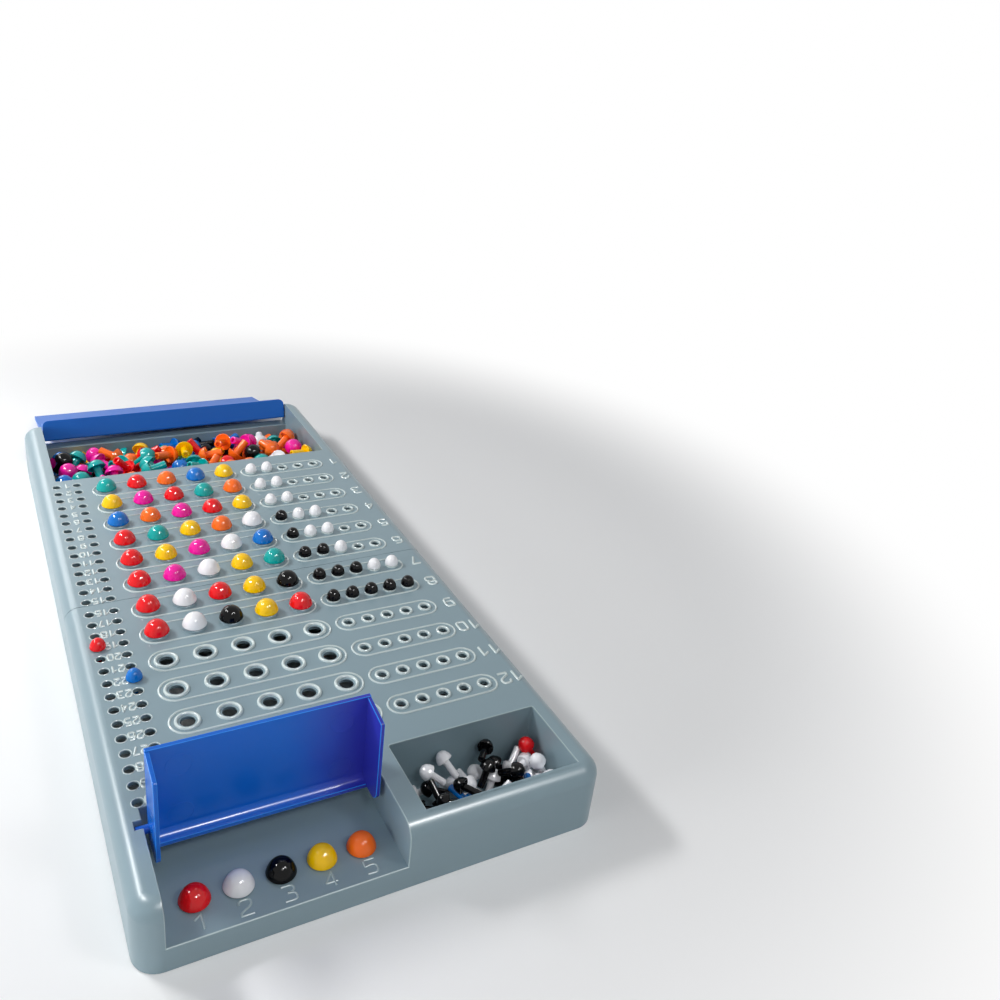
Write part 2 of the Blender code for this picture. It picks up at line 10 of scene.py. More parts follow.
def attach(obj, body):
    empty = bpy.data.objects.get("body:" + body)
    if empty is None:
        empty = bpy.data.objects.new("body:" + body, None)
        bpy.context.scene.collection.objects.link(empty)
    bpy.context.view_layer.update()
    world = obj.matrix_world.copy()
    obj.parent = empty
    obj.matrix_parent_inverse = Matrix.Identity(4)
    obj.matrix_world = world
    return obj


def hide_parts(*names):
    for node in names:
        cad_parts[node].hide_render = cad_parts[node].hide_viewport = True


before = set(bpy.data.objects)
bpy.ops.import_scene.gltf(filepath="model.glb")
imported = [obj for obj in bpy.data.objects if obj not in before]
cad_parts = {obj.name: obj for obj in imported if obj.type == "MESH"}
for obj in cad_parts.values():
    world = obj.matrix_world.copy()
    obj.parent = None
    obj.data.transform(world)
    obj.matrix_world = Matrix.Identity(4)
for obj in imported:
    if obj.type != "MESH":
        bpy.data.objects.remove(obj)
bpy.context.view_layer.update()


# ------------------------------------------------------------------ Board halves
# The board is injection moulded in two open-bottomed halves from one grey-blue plastic
# with a satin gloss. Their decks meet in a straight butt seam between rows six and seven,
# and the peg compartment, the code trough and the key tray are pockets moulded into them.
SIDE_FACE = 0.08115
FRONT_FACE = -0.20998
REAR_FACE = 0.14182
DECK = 0.0260
WALL = 0.0020
SEAM = -0.05263
SEAM_GAP = 0.0003
CORNER_ROUND = 0.0085
DECK_ROUND = 0.0060
RIM_ROUND = 0.00035
COMPARTMENT = (Vector((-0.07155, 0.06502, 0.0020)), Vector((0.07285, 0.13382, 0.0270)))
COMPARTMENT_ROUND = 0.0010
SILL_TOP = 0.01305
SILL_CUT_TOP = 0.03
TROUGH = (Vector((-0.07195, -0.21100, 0.0094)), Vector((0.00485, -0.16998, 0.0270)))
KEY_TRAY = (Vector((0.01275, -0.20498, 0.0020)), Vector((0.07215, -0.17228, 0.0270)))
KEY_TRAY_ROUND = 0.0008
LID_AXIS = (0.13922, 0.0212)
LID_BORE_RADIUS = 0.00165
LID_BORE_DEPTH = 0.0020
LID_BORE_SIDES = 16
SHIELD_AXIS = (-0.17678, 0.0232)
NOTCH_HALF_WIDTH = 0.0018
NOTCH_DEPTH = 0.0026
NOTCH_SEAT = 0.0070
HALF_PIN_BLOCK = 0.0035
PIN_BLOCK_DEPTH = 0.0050
TONGUE_FROM_MIDDLE = 0.040
TONGUE_HALF_WIDTH = 0.015
TONGUE_BOTTOM = 0.010
TONGUE_TOP = 0.012
TONGUE_REACH = 0.008
COLUMNS = 5
ROWS = {"rear": range(1, 7), "front": range(7, 13)}
SCORES = {"rear": range(1, 16), "front": range(16, 31)}
FIRST_GUESS = Vector((-0.04905, 0.04882))
GUESS_PITCH = 0.0150
ROW_PITCH = 0.0183
SEAM_SPACE = 0.0016
FIRST_KEY = 0.02575
KEY_PITCH = 0.00885
SCORE_COLUMNS = (-0.07175, -0.06215)
FIRST_SCORE = 0.05802
SCORE_PITCH = 0.00773
FIRST_CODE = -0.06085
CODE_PITCH = 0.01365
CODE_ROW = -0.19648
HOLE_ROUND = 0.00012
HOLE_LIP = 0.0004
HOLE_DEPTH = 0.0060
OVERCUT = 0.001
SAME_PLACE = 0.000001

# Each hole's radius, how much wider it is below its lip, and the sides of its drill. The last
# score hole has no room to widen beside the code trough.
GUESS_HOLE = (0.0027, 0.0008, 24)
KEY_HOLE = (0.0017, 0.0006, 16)
SCORE_HOLE = (0.00175, 0.0006, 18)
LAST_SCORE_HOLE = (0.00175, 0.00002, 18)
CODE_HOLE = ((0, -0.004), (0.0025, -0.004), (0.0025, 0.001), (0, 0.001))


def paint(red, green, blue):
    """A colour as it looks in plain light, from 0 to 255, turned into linear light."""
    return tuple(((c / 255 + 0.055) / 1.055) ** 2.4 if c > 10 else c / 255 / 12.92
                 for c in (red, green, blue)) + (1.0,)


def moulded_surface():
    """The surface that all moulded parts share: flow shading, scuffs, fine grain and sink marks."""
    group = bpy.data.node_groups.new("moulded_surface", "ShaderNodeTree")
    sockets = group.interface
    for name, kind in (("Colour", "NodeSocketColor"), ("Flow", "NodeSocketFloat"),
                       ("Roughness", "NodeSocketFloat"), ("Grain", "NodeSocketFloat")):
        sockets.new_socket(name=name, in_out="INPUT", socket_type=kind)
    for name, kind in (("Colour", "NodeSocketColor"), ("Roughness", "NodeSocketFloat"),
                       ("Normal", "NodeSocketVector")):
        sockets.new_socket(name=name, in_out="OUTPUT", socket_type=kind)
    nodes, links = group.nodes, group.links
    given = nodes.new("NodeGroupInput")
    result = nodes.new("NodeGroupOutput")
    place = nodes.new("ShaderNodeTexCoord")

    def noise(scale, detail):
        made = nodes.new("ShaderNodeTexNoise")
        made.inputs["Scale"].default_value = scale
        made.inputs["Detail"].default_value = detail
        links.new(place.outputs["Object"], made.inputs["Vector"])
        return made.outputs["Fac"]

    def combined(operation, first, second, third=None):
        made = nodes.new("ShaderNodeMath")
        made.operation = operation
        for socket, value in zip(made.inputs, (first, second, third)):
            if isinstance(value, (int, float)):
                socket.default_value = value
            elif value is not None:
                links.new(value, socket)
        return made.outputs["Value"]

    flow = combined("SUBTRACT", noise(scale=28, detail=2), 0.5)
    shade = combined("MULTIPLY_ADD", flow, given.outputs["Flow"], 1.0)
    tone = nodes.new("ShaderNodeHueSaturation")
    links.new(given.outputs["Colour"], tone.inputs["Color"])
    links.new(shade, tone.inputs["Value"])
    links.new(tone.outputs["Color"], result.inputs["Colour"])
    scuffs = 0.08
    wear = combined("MULTIPLY_ADD", noise(scale=90, detail=3), scuffs, given.outputs["Roughness"])
    links.new(combined("SUBTRACT", wear, scuffs / 2), result.inputs["Roughness"])
    grain = combined("MULTIPLY", noise(scale=1900, detail=2), given.outputs["Grain"])
    sink = combined("MULTIPLY_ADD", noise(scale=55, detail=1), 1.2, grain)
    bump = nodes.new("ShaderNodeBump")
    bump.inputs["Strength"].default_value = 0.4
    bump.inputs["Distance"].default_value = 0.00006
    links.new(sink, bump.inputs["Height"])
    links.new(bump.outputs["Normal"], result.inputs["Normal"])
    return group


SURFACE = moulded_surface()


def plastic(name, colour, flow, roughness, grain, specular):
    """One moulded plastic, coloured in the mass."""
    made = bpy.data.materials.new(name)
    made.use_nodes = True
    nodes, links = made.node_tree.nodes, made.node_tree.links
    shader = nodes["Principled BSDF"]
    shader.inputs["Specular IOR Level"].default_value = specular
    surface = nodes.new("ShaderNodeGroup")
    surface.node_tree = SURFACE
    surface.inputs["Colour"].default_value = colour
    surface.inputs["Flow"].default_value = flow
    surface.inputs["Roughness"].default_value = roughness
    surface.inputs["Grain"].default_value = grain
    links.new(surface.outputs["Colour"], shader.inputs["Base Color"])
    links.new(surface.outputs["Roughness"], shader.inputs["Roughness"])
    links.new(surface.outputs["Normal"], shader.inputs["Normal"])
    return made


def finish_piece(name, bm, material, body, nodes=(), crease=35, rim=None):
    """Turn a bmesh into a piece that rides on a body; rim is a lighter copy of its colour for its
    rounded rims, a painted highlight.
    """
    mesh = bpy.data.meshes.new(name)
    bm.to_mesh(mesh)
    bm.free()
    mesh.shade_smooth()
    mesh.set_sharp_from_angle(angle=math.radians(crease))
    mesh.materials.append(material)
    piece = bpy.data.objects.new(name, mesh)
    bpy.context.scene.collection.objects.link(piece)
    if rim:
        mesh.materials.append(rim)
        weights = piece.modifiers.new("flat_faces_stay_flat", "WEIGHTED_NORMAL")
        weights.keep_sharp = True
    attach(piece, body)
    if nodes:
        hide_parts(*nodes)
    return piece


def add_block(bm, low, high):
    """Add a plain block between two corners."""
    low, high = Vector(low), Vector(high)
    place = Matrix.Translation((low + high) / 2) @ Matrix.Diagonal((*(high - low), 1))
    return bmesh.ops.create_cube(bm, size=1, matrix=place)["verts"]


def rounded_block(low, high, corner, edge, steps):
    """A block with rounded upright corners and a rounded top edge."""
    bm = bmesh.new()
    add_block(bm, low, high)
    uprights = [e for e in bm.edges if abs(e.verts[0].co.z - e.verts[1].co.z) > WALL]
    bmesh.ops.bevel(bm, geom=uprights, offset=corner, segments=steps, profile=0.5,
                    affect="EDGES", material=-1)
    if edge:
        top = max(bm.faces, key=lambda face: face.calc_center_median().z)
        bmesh.ops.bevel(bm, geom=list(top.edges), offset=edge, segments=steps, profile=0.5,
                        affect="EDGES", material=-1)
    return bm


def at_seam(bm, y, rear):
    """Keep the rear or the front side of a closed bmesh, cut across the board at y."""
    bmesh.ops.bisect_plane(bm, geom=bm.verts[:] + bm.edges[:] + bm.faces[:],
                           plane_co=(0, y, 0), plane_no=(0, 1, 0),
                           clear_inner=rear, clear_outer=not rear)
    bmesh.ops.holes_fill(bm, edges=[e for e in bm.edges if e.is_boundary], sides=0)
    return bm


def carved(bm, steps):
    """The bmesh after each (operation, tool) in turn has been joined to it or cut from it."""
    def as_object(shape):
        bmesh.ops.recalc_face_normals(shape, faces=shape.faces)
        mesh = bpy.data.meshes.new("tool")
        shape.to_mesh(mesh)
        shape.free()
        made = bpy.data.objects.new("tool", mesh)
        bpy.context.scene.collection.objects.link(made)
        return made

    stock = as_object(bm)
    tools = []
    for operation, tool in steps:
        tools.append(as_object(tool))
        boolean = stock.modifiers.new(operation, "BOOLEAN")
        boolean.operation = operation
        boolean.object = tools[-1]
        boolean.solver = "EXACT"
    ready = stock.evaluated_get(bpy.context.evaluated_depsgraph_get())
    mesh = bpy.data.meshes.new_from_object(ready)
    made = bmesh.new()
    made.from_mesh(mesh)
    for used in [stock] + tools:
        bpy.data.meshes.remove(used.data)
    bpy.data.meshes.remove(mesh)
    bmesh.ops.remove_doubles(made, verts=made.verts, dist=SAME_PLACE)
    return made


def soften(bm, width, steps, chosen):
    """Round the sharp outward edges that a test chooses; their faces take the second material,
    which paints a highlight on them.
    """
    still_flat, sharp_from = math.radians(0.6), math.radians(50)
    bmesh.ops.dissolve_limit(bm, angle_limit=still_flat, verts=bm.verts, edges=bm.edges)
    bm.normal_update()
    sharp = [e for e in bm.edges if e.is_manifold and e.is_convex
             and e.calc_face_angle() > sharp_from and chosen(e)]
    rims = bmesh.ops.bevel(bm, geom=sharp, offset=width, segments=steps, profile=0.5,
                           affect="EDGES", material=-1, clamp_overlap=True)["faces"]
    for face in rims:
        face.material_index = 1
    return bm


def add_turned(bm, outline, place, steps, closed=False):
    """Add a turned shape: an outline of (radius, height) spun about an upright axis."""
    x, y, z = place
    points = [bm.verts.new((x + radius, y, z + height)) for radius, height in outline]
    ends = points[1:] + points[:1] if closed else points[1:]
    edges = [bm.edges.new(pair) for pair in zip(points, ends)]
    bmesh.ops.spin(bm, geom=points + edges, cent=(x, y, z), axis=(0, 0, 1),
                   angle=math.tau, steps=steps, use_merge=True)


def add_rod(bm, start, end, y, z, radius, steps):
    """Add a round rod along X."""
    place = Matrix.Translation(((start + end) / 2, y, z)) @ Matrix.Rotation(math.pi / 2, 4, "Y")
    return bmesh.ops.create_cone(bm, cap_ends=True, segments=steps, radius1=radius,
                                 radius2=radius, depth=abs(end - start), matrix=place)["verts"]


def row_place(row):
    """How far forward a row of holes stands; rows count from the rear."""
    return FIRST_GUESS.y - (row - 1) * ROW_PITCH - (SEAM_SPACE if row in ROWS["front"] else 0)


def score_row(number):
    """How far forward a score hole stands; they count from the rear."""
    y = FIRST_SCORE - (number - 1) * SCORE_PITCH
    return y - (SEAM_SPACE if number in SCORES["front"] else 0)


def hole_drills(half):
    """The drills of one half's deck holes, wider below a thin lip and flared at the deck."""
    bm = bmesh.new()

    def drill(x, y, radius, wider, steps):
        outline = ((0, -HOLE_DEPTH), (radius + wider, -HOLE_DEPTH), (radius + wider, -HOLE_LIP),
                   (radius, -HOLE_LIP), (radius, -HOLE_ROUND),
                   (radius + HOLE_ROUND, HOLE_ROUND / 4), (radius + HOLE_ROUND, OVERCUT),
                   (0, OVERCUT))
        add_turned(bm, outline, (x, y, DECK), steps)

    for row in ROWS[half]:
        for column in range(COLUMNS):
            drill(FIRST_GUESS.x + column * GUESS_PITCH, row_place(row), *GUESS_HOLE)
            drill(FIRST_KEY + column * KEY_PITCH, row_place(row), *KEY_HOLE)
    for number in SCORES[half]:
        for x in SCORE_COLUMNS:
            drill(x, score_row(number),
                  *(LAST_SCORE_HOLE if number == SCORES["front"][-1] else SCORE_HOLE))
    bmesh.ops.remove_doubles(bm, verts=bm.verts, dist=SAME_PLACE)
    return bm


def board_shell(rear, *walls):
    """One half's hollow shell, before its pockets; the walls are left standing in the hollow."""
    side = 1 if rear else -1
    outer = rounded_block((-SIDE_FACE, FRONT_FACE, 0), (SIDE_FACE, REAR_FACE, DECK),
                          CORNER_ROUND, DECK_ROUND, steps=9)
    hollow = rounded_block((-SIDE_FACE + WALL, FRONT_FACE + WALL, -WALL),
                           (SIDE_FACE - WALL, REAR_FACE - WALL, DECK - WALL),
                           CORNER_ROUND - WALL, DECK_ROUND - WALL, steps=5)
    hollow = at_seam(hollow, SEAM + side * WALL, rear)
    hollow = carved(hollow, [("DIFFERENCE", wall) for wall in walls])
    return at_seam(outer, SEAM + side * SEAM_GAP / 2, rear), ("DIFFERENCE", hollow)


def blocks(*corners):
    """A bmesh of plain blocks."""
    bm = bmesh.new()
    for low, high in corners:
        add_block(bm, low, high)
    return bm


def rim_edge(edge):
    """Whether an edge is one of the rims that show: on the deck, round a pocket or in front."""
    upward = 0.05
    high = max(v.co.z for v in edge.verts)
    in_front = all(v.co.y < FRONT_FACE + WALL / 2 for v in edge.verts)
    faces_up = any(face.normal.z > upward for face in edge.link_faces)
    at_joint = all(abs(v.co.y - SEAM) < WALL * 2 for v in edge.verts)
    return high > WALL * 2 and (faces_up or in_front) and not at_joint


def beside(pocket, inwards, outwards):
    """The left and right end of a block in each side wall of a pocket."""
    return [sorted((x - side * inwards, x + side * outwards))
            for x, side in ((pocket[0].x, -1), (pocket[1].x, 1))]


def rods(*places):
    """A bmesh of round rods along X."""
    bm = bmesh.new()
    for place in places:
        add_rod(bm, *place)
    return bm


def tongues(spare, reach):
    """The two flat tongues across the seam, or their slots."""
    return blocks(*(((x - TONGUE_HALF_WIDTH - spare, SEAM - WALL, TONGUE_BOTTOM - spare),
                     (x + TONGUE_HALF_WIDTH + spare, SEAM + reach, TONGUE_TOP + spare))
                    for x in (-TONGUE_FROM_MIDDLE, TONGUE_FROM_MIDDLE)))


board_plastic = plastic("grey_blue_plastic", paint(130, 152, 161),
                        flow=0.10, roughness=0.31, grain=0.10, specular=0.45)
# The rims' lighter grey-blue is a painted highlight along the rounded edges, not a second plastic.
rim_painted_highlight = plastic("grey_blue_rims_painted_highlight", paint(162, 181, 184),
                      flow=0.04, roughness=0.31, grain=0.10, specular=0.5)

low, high = COMPARTMENT
outer, hollow = board_shell(
    True,
    blocks(((low.x - WALL, low.y - WALL, -WALL), (high.x + WALL, high.y + WALL, DECK))),
    blocks(((low.x - WALL / 2, high.y - WALL / 2, SILL_TOP - WALL),
            (high.x + WALL / 2, REAR_FACE, DECK))),
    blocks(*(((left, LID_AXIS[0] - HALF_PIN_BLOCK, LID_AXIS[1] - HALF_PIN_BLOCK),
              (right, REAR_FACE, DECK))
             for left, right in beside(COMPARTMENT, WALL / 4, PIN_BLOCK_DEPTH))),
)
sill_cut = blocks(((low.x, high.y - COMPARTMENT_ROUND, SILL_TOP),
                   (high.x, REAR_FACE + WALL, SILL_CUT_TOP)))
rear_shell = carved(outer, (
    hollow,
    ("DIFFERENCE", rounded_block(low, high, COMPARTMENT_ROUND, edge=0, steps=3)),
    ("DIFFERENCE", sill_cut),
))
soften(rear_shell, RIM_ROUND, steps=2, chosen=rim_edge)
bore = (*LID_AXIS, LID_BORE_RADIUS, LID_BORE_SIDES)
bores = rods((low.x - LID_BORE_DEPTH, low.x + OVERCUT, *bore),
             (high.x - OVERCUT, high.x + LID_BORE_DEPTH, *bore))
rear_shell = carved(rear_shell, (
    ("DIFFERENCE", bores),
    ("DIFFERENCE", tongues(SEAM_GAP, WALL + OVERCUT)),
    ("DIFFERENCE", hole_drills("rear")),
))
finish_piece("rear_board_half", rear_shell, board_plastic, "rear_half", ("rear_half",),
             rim=rim_painted_highlight)

low, high = TROUGH
outer, hollow = board_shell(
    False,
    blocks(((low.x - WALL, FRONT_FACE, low.z - WALL), (high.x + WALL, high.y + WALL, DECK))),
    blocks(((KEY_TRAY[0].x - WALL, FRONT_FACE, -WALL),
            (KEY_TRAY[1].x + WALL, KEY_TRAY[1].y + WALL, DECK))),
    blocks(*(((left, SHIELD_AXIS[0] - HALF_PIN_BLOCK, SHIELD_AXIS[1] - NOTCH_SEAT),
              (right, SHIELD_AXIS[0] + HALF_PIN_BLOCK, DECK - WALL / 8))
             for left, right in beside(TROUGH, WALL / 8, PIN_BLOCK_DEPTH))),
)
notches = blocks(*(((left, SHIELD_AXIS[0] - NOTCH_HALF_WIDTH, SHIELD_AXIS[1] - NOTCH_HALF_WIDTH),
                    (right, SHIELD_AXIS[0] + NOTCH_HALF_WIDTH, DECK + WALL))
                   for left, right in beside(TROUGH, OVERCUT, NOTCH_DEPTH)))
front_shell = carved(outer, (
    hollow,
    ("DIFFERENCE", blocks(TROUGH)),
    ("DIFFERENCE", rounded_block(*KEY_TRAY, KEY_TRAY_ROUND, edge=0, steps=3)),
    ("DIFFERENCE", notches),
))
soften(front_shell, RIM_ROUND, steps=2, chosen=rim_edge)
code_drills = bmesh.new()
for column in range(COLUMNS):
    place = (FIRST_CODE + column * CODE_PITCH, CODE_ROW, low.z)
    add_turned(code_drills, CODE_HOLE, place, steps=20)
bmesh.ops.remove_doubles(code_drills, verts=code_drills.verts, dist=SAME_PLACE)
front_shell = carved(front_shell, (
    ("DIFFERENCE", code_drills),
    ("UNION", tongues(0, TONGUE_REACH)),
    ("DIFFERENCE", hole_drills("front")),
))
finish_piece("front_board_half", front_shell, board_plastic, "front_half",
             ("front_half",), rim=rim_painted_highlight)


# ------------------------------------------------------------------ Collars and beads
# Every guess hole and key hole has a rounded collar that its peg's head sits on, and a thin
# raised bead runs round each row of five. They are moulded in one with the board.
GUESS_COLLAR = ((0.00345, -0.0004), (0.00345, 0.00020), (0.00357, 0.00054), (0.00383, 0.00078),
                (0.00414, 0.00086), (0.00445, 0.00077), (0.00468, 0.00052), (0.00478, 0.00018),
                (0.00478, -0.0004))
KEY_COLLAR = ((0.00192, -0.0004), (0.00192, 0.00036), (0.00200, 0.00058), (0.00219, 0.00073),
              (0.00243, 0.00078), (0.00267, 0.00071), (0.00287, 0.00052), (0.00297, 0.00022),
              (0.00299, -0.0004))
SCORE_COLLAR = ((0.00190, -0.0003), (0.00190, 0.00008), (0.00200, 0.00018), (0.00216, 0.00018),
                (0.00228, 0.00006), (0.00228, -0.0003))
GUESS_COLLAR_STEPS = 28
SMALL_COLLAR_STEPS = 20
GUESS_BEAD_REACH = 0.0064
KEY_BEAD_REACH = 0.0051
BEAD_RADIUS = 0.00044
BEAD_SIDES = 8
BEAD_TURN_STEPS = 12
ROWS_PLAYED = 8

# The raised collars, beads and numbers take a lighter copy of the board's colour: a painted
# highlight, not a second plastic.
relief_painted_highlight = plastic("grey_blue_relief_painted_highlight", paint(196, 209, 208),
                         flow=0.06, roughness=0.16, grain=0.1, specular=0.5)


def add_bead(bm, left, right, y, reach):
    """Add a thin round bead in a long loop about two hole centres, half sunk in the deck."""
    place = Matrix.Translation((left, y - reach, DECK)) @ Matrix.Rotation(math.pi / 2, 4, "Y")
    ring = bmesh.ops.create_circle(bm, radius=BEAD_RADIUS, segments=BEAD_SIDES,
                                   matrix=place)["verts"]
    end = list({e for v in ring for e in v.link_edges})
    for run, centre in ((right - left, right), (left - right, left)):
        grown = bmesh.ops.extrude_edge_only(bm, edges=end)["geom"]
        corners = [g for g in grown if isinstance(g, bmesh.types.BMVert)]
        bmesh.ops.translate(bm, vec=(run, 0, 0), verts=corners)
        end = [g for g in grown if isinstance(g, bmesh.types.BMEdge)
               and all(v in corners for v in g.verts)]
        turned = bmesh.ops.spin(bm, geom=corners + end, cent=(centre, y, DECK), axis=(0, 0, 1),
                                angle=math.pi, steps=BEAD_TURN_STEPS)["geom_last"]
        end = [g for g in turned if isinstance(g, bmesh.types.BMEdge)]


def closed_up(bm, within=SAME_PLACE):
    """Merge the points that meet, and turn every face outwards."""
    bmesh.ops.remove_doubles(bm, verts=bm.verts, dist=within)
    bmesh.ops.recalc_face_normals(bm, faces=bm.faces)
    return bm


for half, rows in ROWS.items():
    collars = bmesh.new()
    covered = bmesh.new()
    beads = bmesh.new()
    for number in SCORES[half]:
        for x in SCORE_COLUMNS:
            add_turned(collars, SCORE_COLLAR, (x, score_row(number), DECK), SMALL_COLLAR_STEPS,
                       closed=True)
    for row in rows:
        y = row_place(row)
        for column in range(COLUMNS):
            # Collars under pegs keep the board's own darker colour, painted shade under the heads;
            # open ones take the lighter painted highlight.
            add_turned(covered if row <= ROWS_PLAYED else collars, GUESS_COLLAR,
                       (FIRST_GUESS.x + column * GUESS_PITCH, y, DECK), GUESS_COLLAR_STEPS,
                       closed=True)
            add_turned(collars, KEY_COLLAR, (FIRST_KEY + column * KEY_PITCH, y, DECK),
                       SMALL_COLLAR_STEPS, closed=True)
        for first, pitch, reach in ((FIRST_GUESS.x, GUESS_PITCH, GUESS_BEAD_REACH),
                                    (FIRST_KEY, KEY_PITCH, KEY_BEAD_REACH)):
            add_bead(beads, first, first + (COLUMNS - 1) * pitch, y, reach)
    for name, shape, material in (("hole_collars", collars, relief_painted_highlight),
                                  ("covered_collars", covered, board_plastic),
                                  ("row_beads", beads, relief_painted_highlight)):
        finish_piece(half + "_" + name, closed_up(shape, within=0.00001), material,
                     half + "_half")


# ------------------------------------------------------------------ Numbers
# Raised numbers are moulded in one with the board, in rounded strokes: the score numbers,
# row numbers and column numbers read from the rear, the code numbers from the front.
DIGITS = {
    "0": (((0.56, 1.7), (0.0, 1.7), (0.0, 0.85), (0.0, 0.0), (0.5, 0.0), (1.0, 0.0), (1.0, 0.85),
           (1.0, 1.7), (0.44, 1.7)),),
    "1": (((0.05, 1.2), (0.65, 1.7), (0.65, 1.7), (0.65, 0.0)),),
    "2": (((0.0, 1.25), (0.0, 1.7), (0.5, 1.75), (1.0, 1.7), (1.0, 1.0), (0.45, 0.65), (0.0, 0.35),
           (0.0, 0.0), (0.0, 0.0), (1.0, 0.0)),),
    "3": (((0.0, 1.7), (0.6, 1.75), (1.0, 1.6), (1.0, 0.95), (0.4, 0.9)),
          ((0.46, 0.88), (1.0, 0.9), (1.05, 0.05), (0.6, -0.05), (0.0, 0.0))),
    "4": (((0.75, 0.0), (0.75, 1.7), (0.75, 1.7), (0.0, 0.5), (0.0, 0.5), (1.0, 0.5)),),
    "5": (((1.0, 1.7), (0.05, 1.7), (0.05, 1.7), (0.05, 0.95), (0.05, 0.95), (0.9, 1.1),
           (1.05, 0.5), (0.85, 0.0), (0.5, 0.0), (0.0, 0.05)),),
    "6": (((0.95, 1.65), (0.1, 1.8), (0.0, 0.9), (0.0, 0.0), (0.5, 0.0), (1.0, 0.0), (1.0, 0.55),
           (0.95, 1.0), (0.5, 1.0), (0.05, 0.9), (0.0, 0.5)),),
    "7": (((0.0, 1.7), (1.0, 1.7), (1.0, 1.7), (0.35, 0.0)),),
    "8": (((0.55, 0.96), (0.0, 1.0), (0.0, 1.4), (0.1, 1.72), (0.5, 1.72), (0.9, 1.72), (1.0, 1.4),
           (1.0, 1.0), (0.45, 0.96)),
          ((0.58, 0.93), (-0.05, 0.9), (-0.05, 0.45), (0.0, 0.0), (0.5, 0.0), (1.0, 0.0),
           (1.05, 0.45), (1.05, 0.9), (0.42, 0.93))),
    "9": (((0.05, 0.05), (0.9, -0.1), (1.0, 0.8), (1.0, 1.7), (0.5, 1.7), (0.0, 1.7), (0.0, 1.15),
           (0.05, 0.7), (0.5, 0.7), (0.95, 0.8), (1.0, 1.2)),),
}
DIGIT_HEIGHT = 1.7
DIGIT_ADVANCE = 1.38
STROKE_FLATTENED = 0.9
STROKE_CREASE = 60
ROW_NUMBERS_X = 0.0731
SCORE_NUMBERS_X = -0.06685
COLUMN_NUMBERS_BEHIND = 0.0092
CODE_NUMBERS_Y = -0.2049

# The height and width of each kind of number, and the radius of its strokes
ROW_NUMBER = (0.0058, 0.0038, 0.00055)
SCORE_NUMBER = (0.0037, 0.0020, 0.00044)
COLUMN_NUMBER = (0.0036, 0.0024, 0.00040)
CODE_NUMBER = (0.0055, 0.0039, 0.00036)


def add_number(bm, number, centre, size, turned=True):
    """Add a raised number, its strokes half sunk in the surface that it stands on."""
    height, width, stroke = size
    curve = bpy.data.curves.new("strokes", "CURVE")
    curve.dimensions = "3D"
    curve.bevel_depth = stroke
    curve.bevel_resolution = 1
    curve.resolution_u = 3
    curve.use_fill_caps = True
    tall = height / DIGIT_HEIGHT
    text = str(number)
    start = -((len(text) - 1) * DIGIT_ADVANCE + 1) / 2
    for index, digit in enumerate(text):
        for points in DIGITS[digit]:
            spline = curve.splines.new("NURBS")
            spline.points.add(len(points) - 1)
            for point, (x, y) in zip(spline.points, points):
                across = (start + index * DIGIT_ADVANCE + x) * width
                point.co = (across, (y - DIGIT_HEIGHT / 2) * tall, 0, 1)
            spline.order_u = 3
            spline.use_endpoint_u = True
    holder = bpy.data.objects.new("strokes", curve)
    mesh = bpy.data.meshes.new_from_object(holder)
    spin = Matrix.Rotation(math.pi if turned else 0, 4, "Z")
    flatten = Matrix.Diagonal((1, 1, STROKE_FLATTENED, 1))
    mesh.transform(Matrix.Translation(centre) @ spin @ flatten)
    bm.from_mesh(mesh)
    bpy.data.meshes.remove(mesh)
    bpy.data.curves.remove(curve)


# The row, score and column numbers take the relief's lighter colour, a painted highlight.
for half, rows in ROWS.items():
    numbers = bmesh.new()
    for row in rows:
        add_number(numbers, row, (ROW_NUMBERS_X, row_place(row), DECK), ROW_NUMBER)
    for score in SCORES[half]:
        add_number(numbers, score, (SCORE_NUMBERS_X, score_row(score), DECK), SCORE_NUMBER)
    if half == "rear":
        for column in range(COLUMNS):
            place = (FIRST_GUESS.x + column * GUESS_PITCH, FIRST_GUESS.y + COLUMN_NUMBERS_BEHIND,
                     DECK)
            add_number(numbers, column + 1, place, COLUMN_NUMBER)
    finish_piece(half + "_numbers", closed_up(numbers), relief_painted_highlight, half + "_half",
                 crease=STROKE_CREASE)
# The code numbers take the rims' lighter colour, a painted highlight.
code_numbers = bmesh.new()
for column in range(COLUMNS):
    place = (FIRST_CODE + column * CODE_PITCH, CODE_NUMBERS_Y, TROUGH[0].z)
    add_number(code_numbers, column + 1, place, CODE_NUMBER, turned=False)
finish_piece("code_numbers", closed_up(code_numbers), rim_painted_highlight, "front_half",
             crease=STROKE_CREASE)


# ------------------------------------------------------------------ Compartment lid
# The lid is one L of a plate and a skirt, moulded in bright blue plastic. An ear at each end
# of the L carries a short pin that clicks into a bore of the board's side wall.
LID_LEFT, LID_RIGHT = -0.07075, 0.07205
LID_ARM = 0.07319
LID_TOP = 0.0048
LID_BACK = 0.0026
LID_PLATE = 0.0020
LID_SKIRT = 0.0120
LID_FOOT = LID_TOP - LID_SKIRT
LID_FOOT_ROUND = 0.0030
LID_BEND_ROUND = 0.0012
LID_EAR_PLATE = 0.0020
LID_EAR_INSET = 0.001
LID_EAR_FRONT = -0.0100
LID_EAR_SHOULDER = 0.0005
LID_EAR_FOOT = -0.0050
LID_PIN_LENGTH = 0.0025
LID_PIN_RADIUS = 0.00125
LID_PIN_ROOT = 0.001
LID_PIN_SIDES = 20
LID_TILT = math.radians(12.80)
EDGE_ROUND = 0.0003


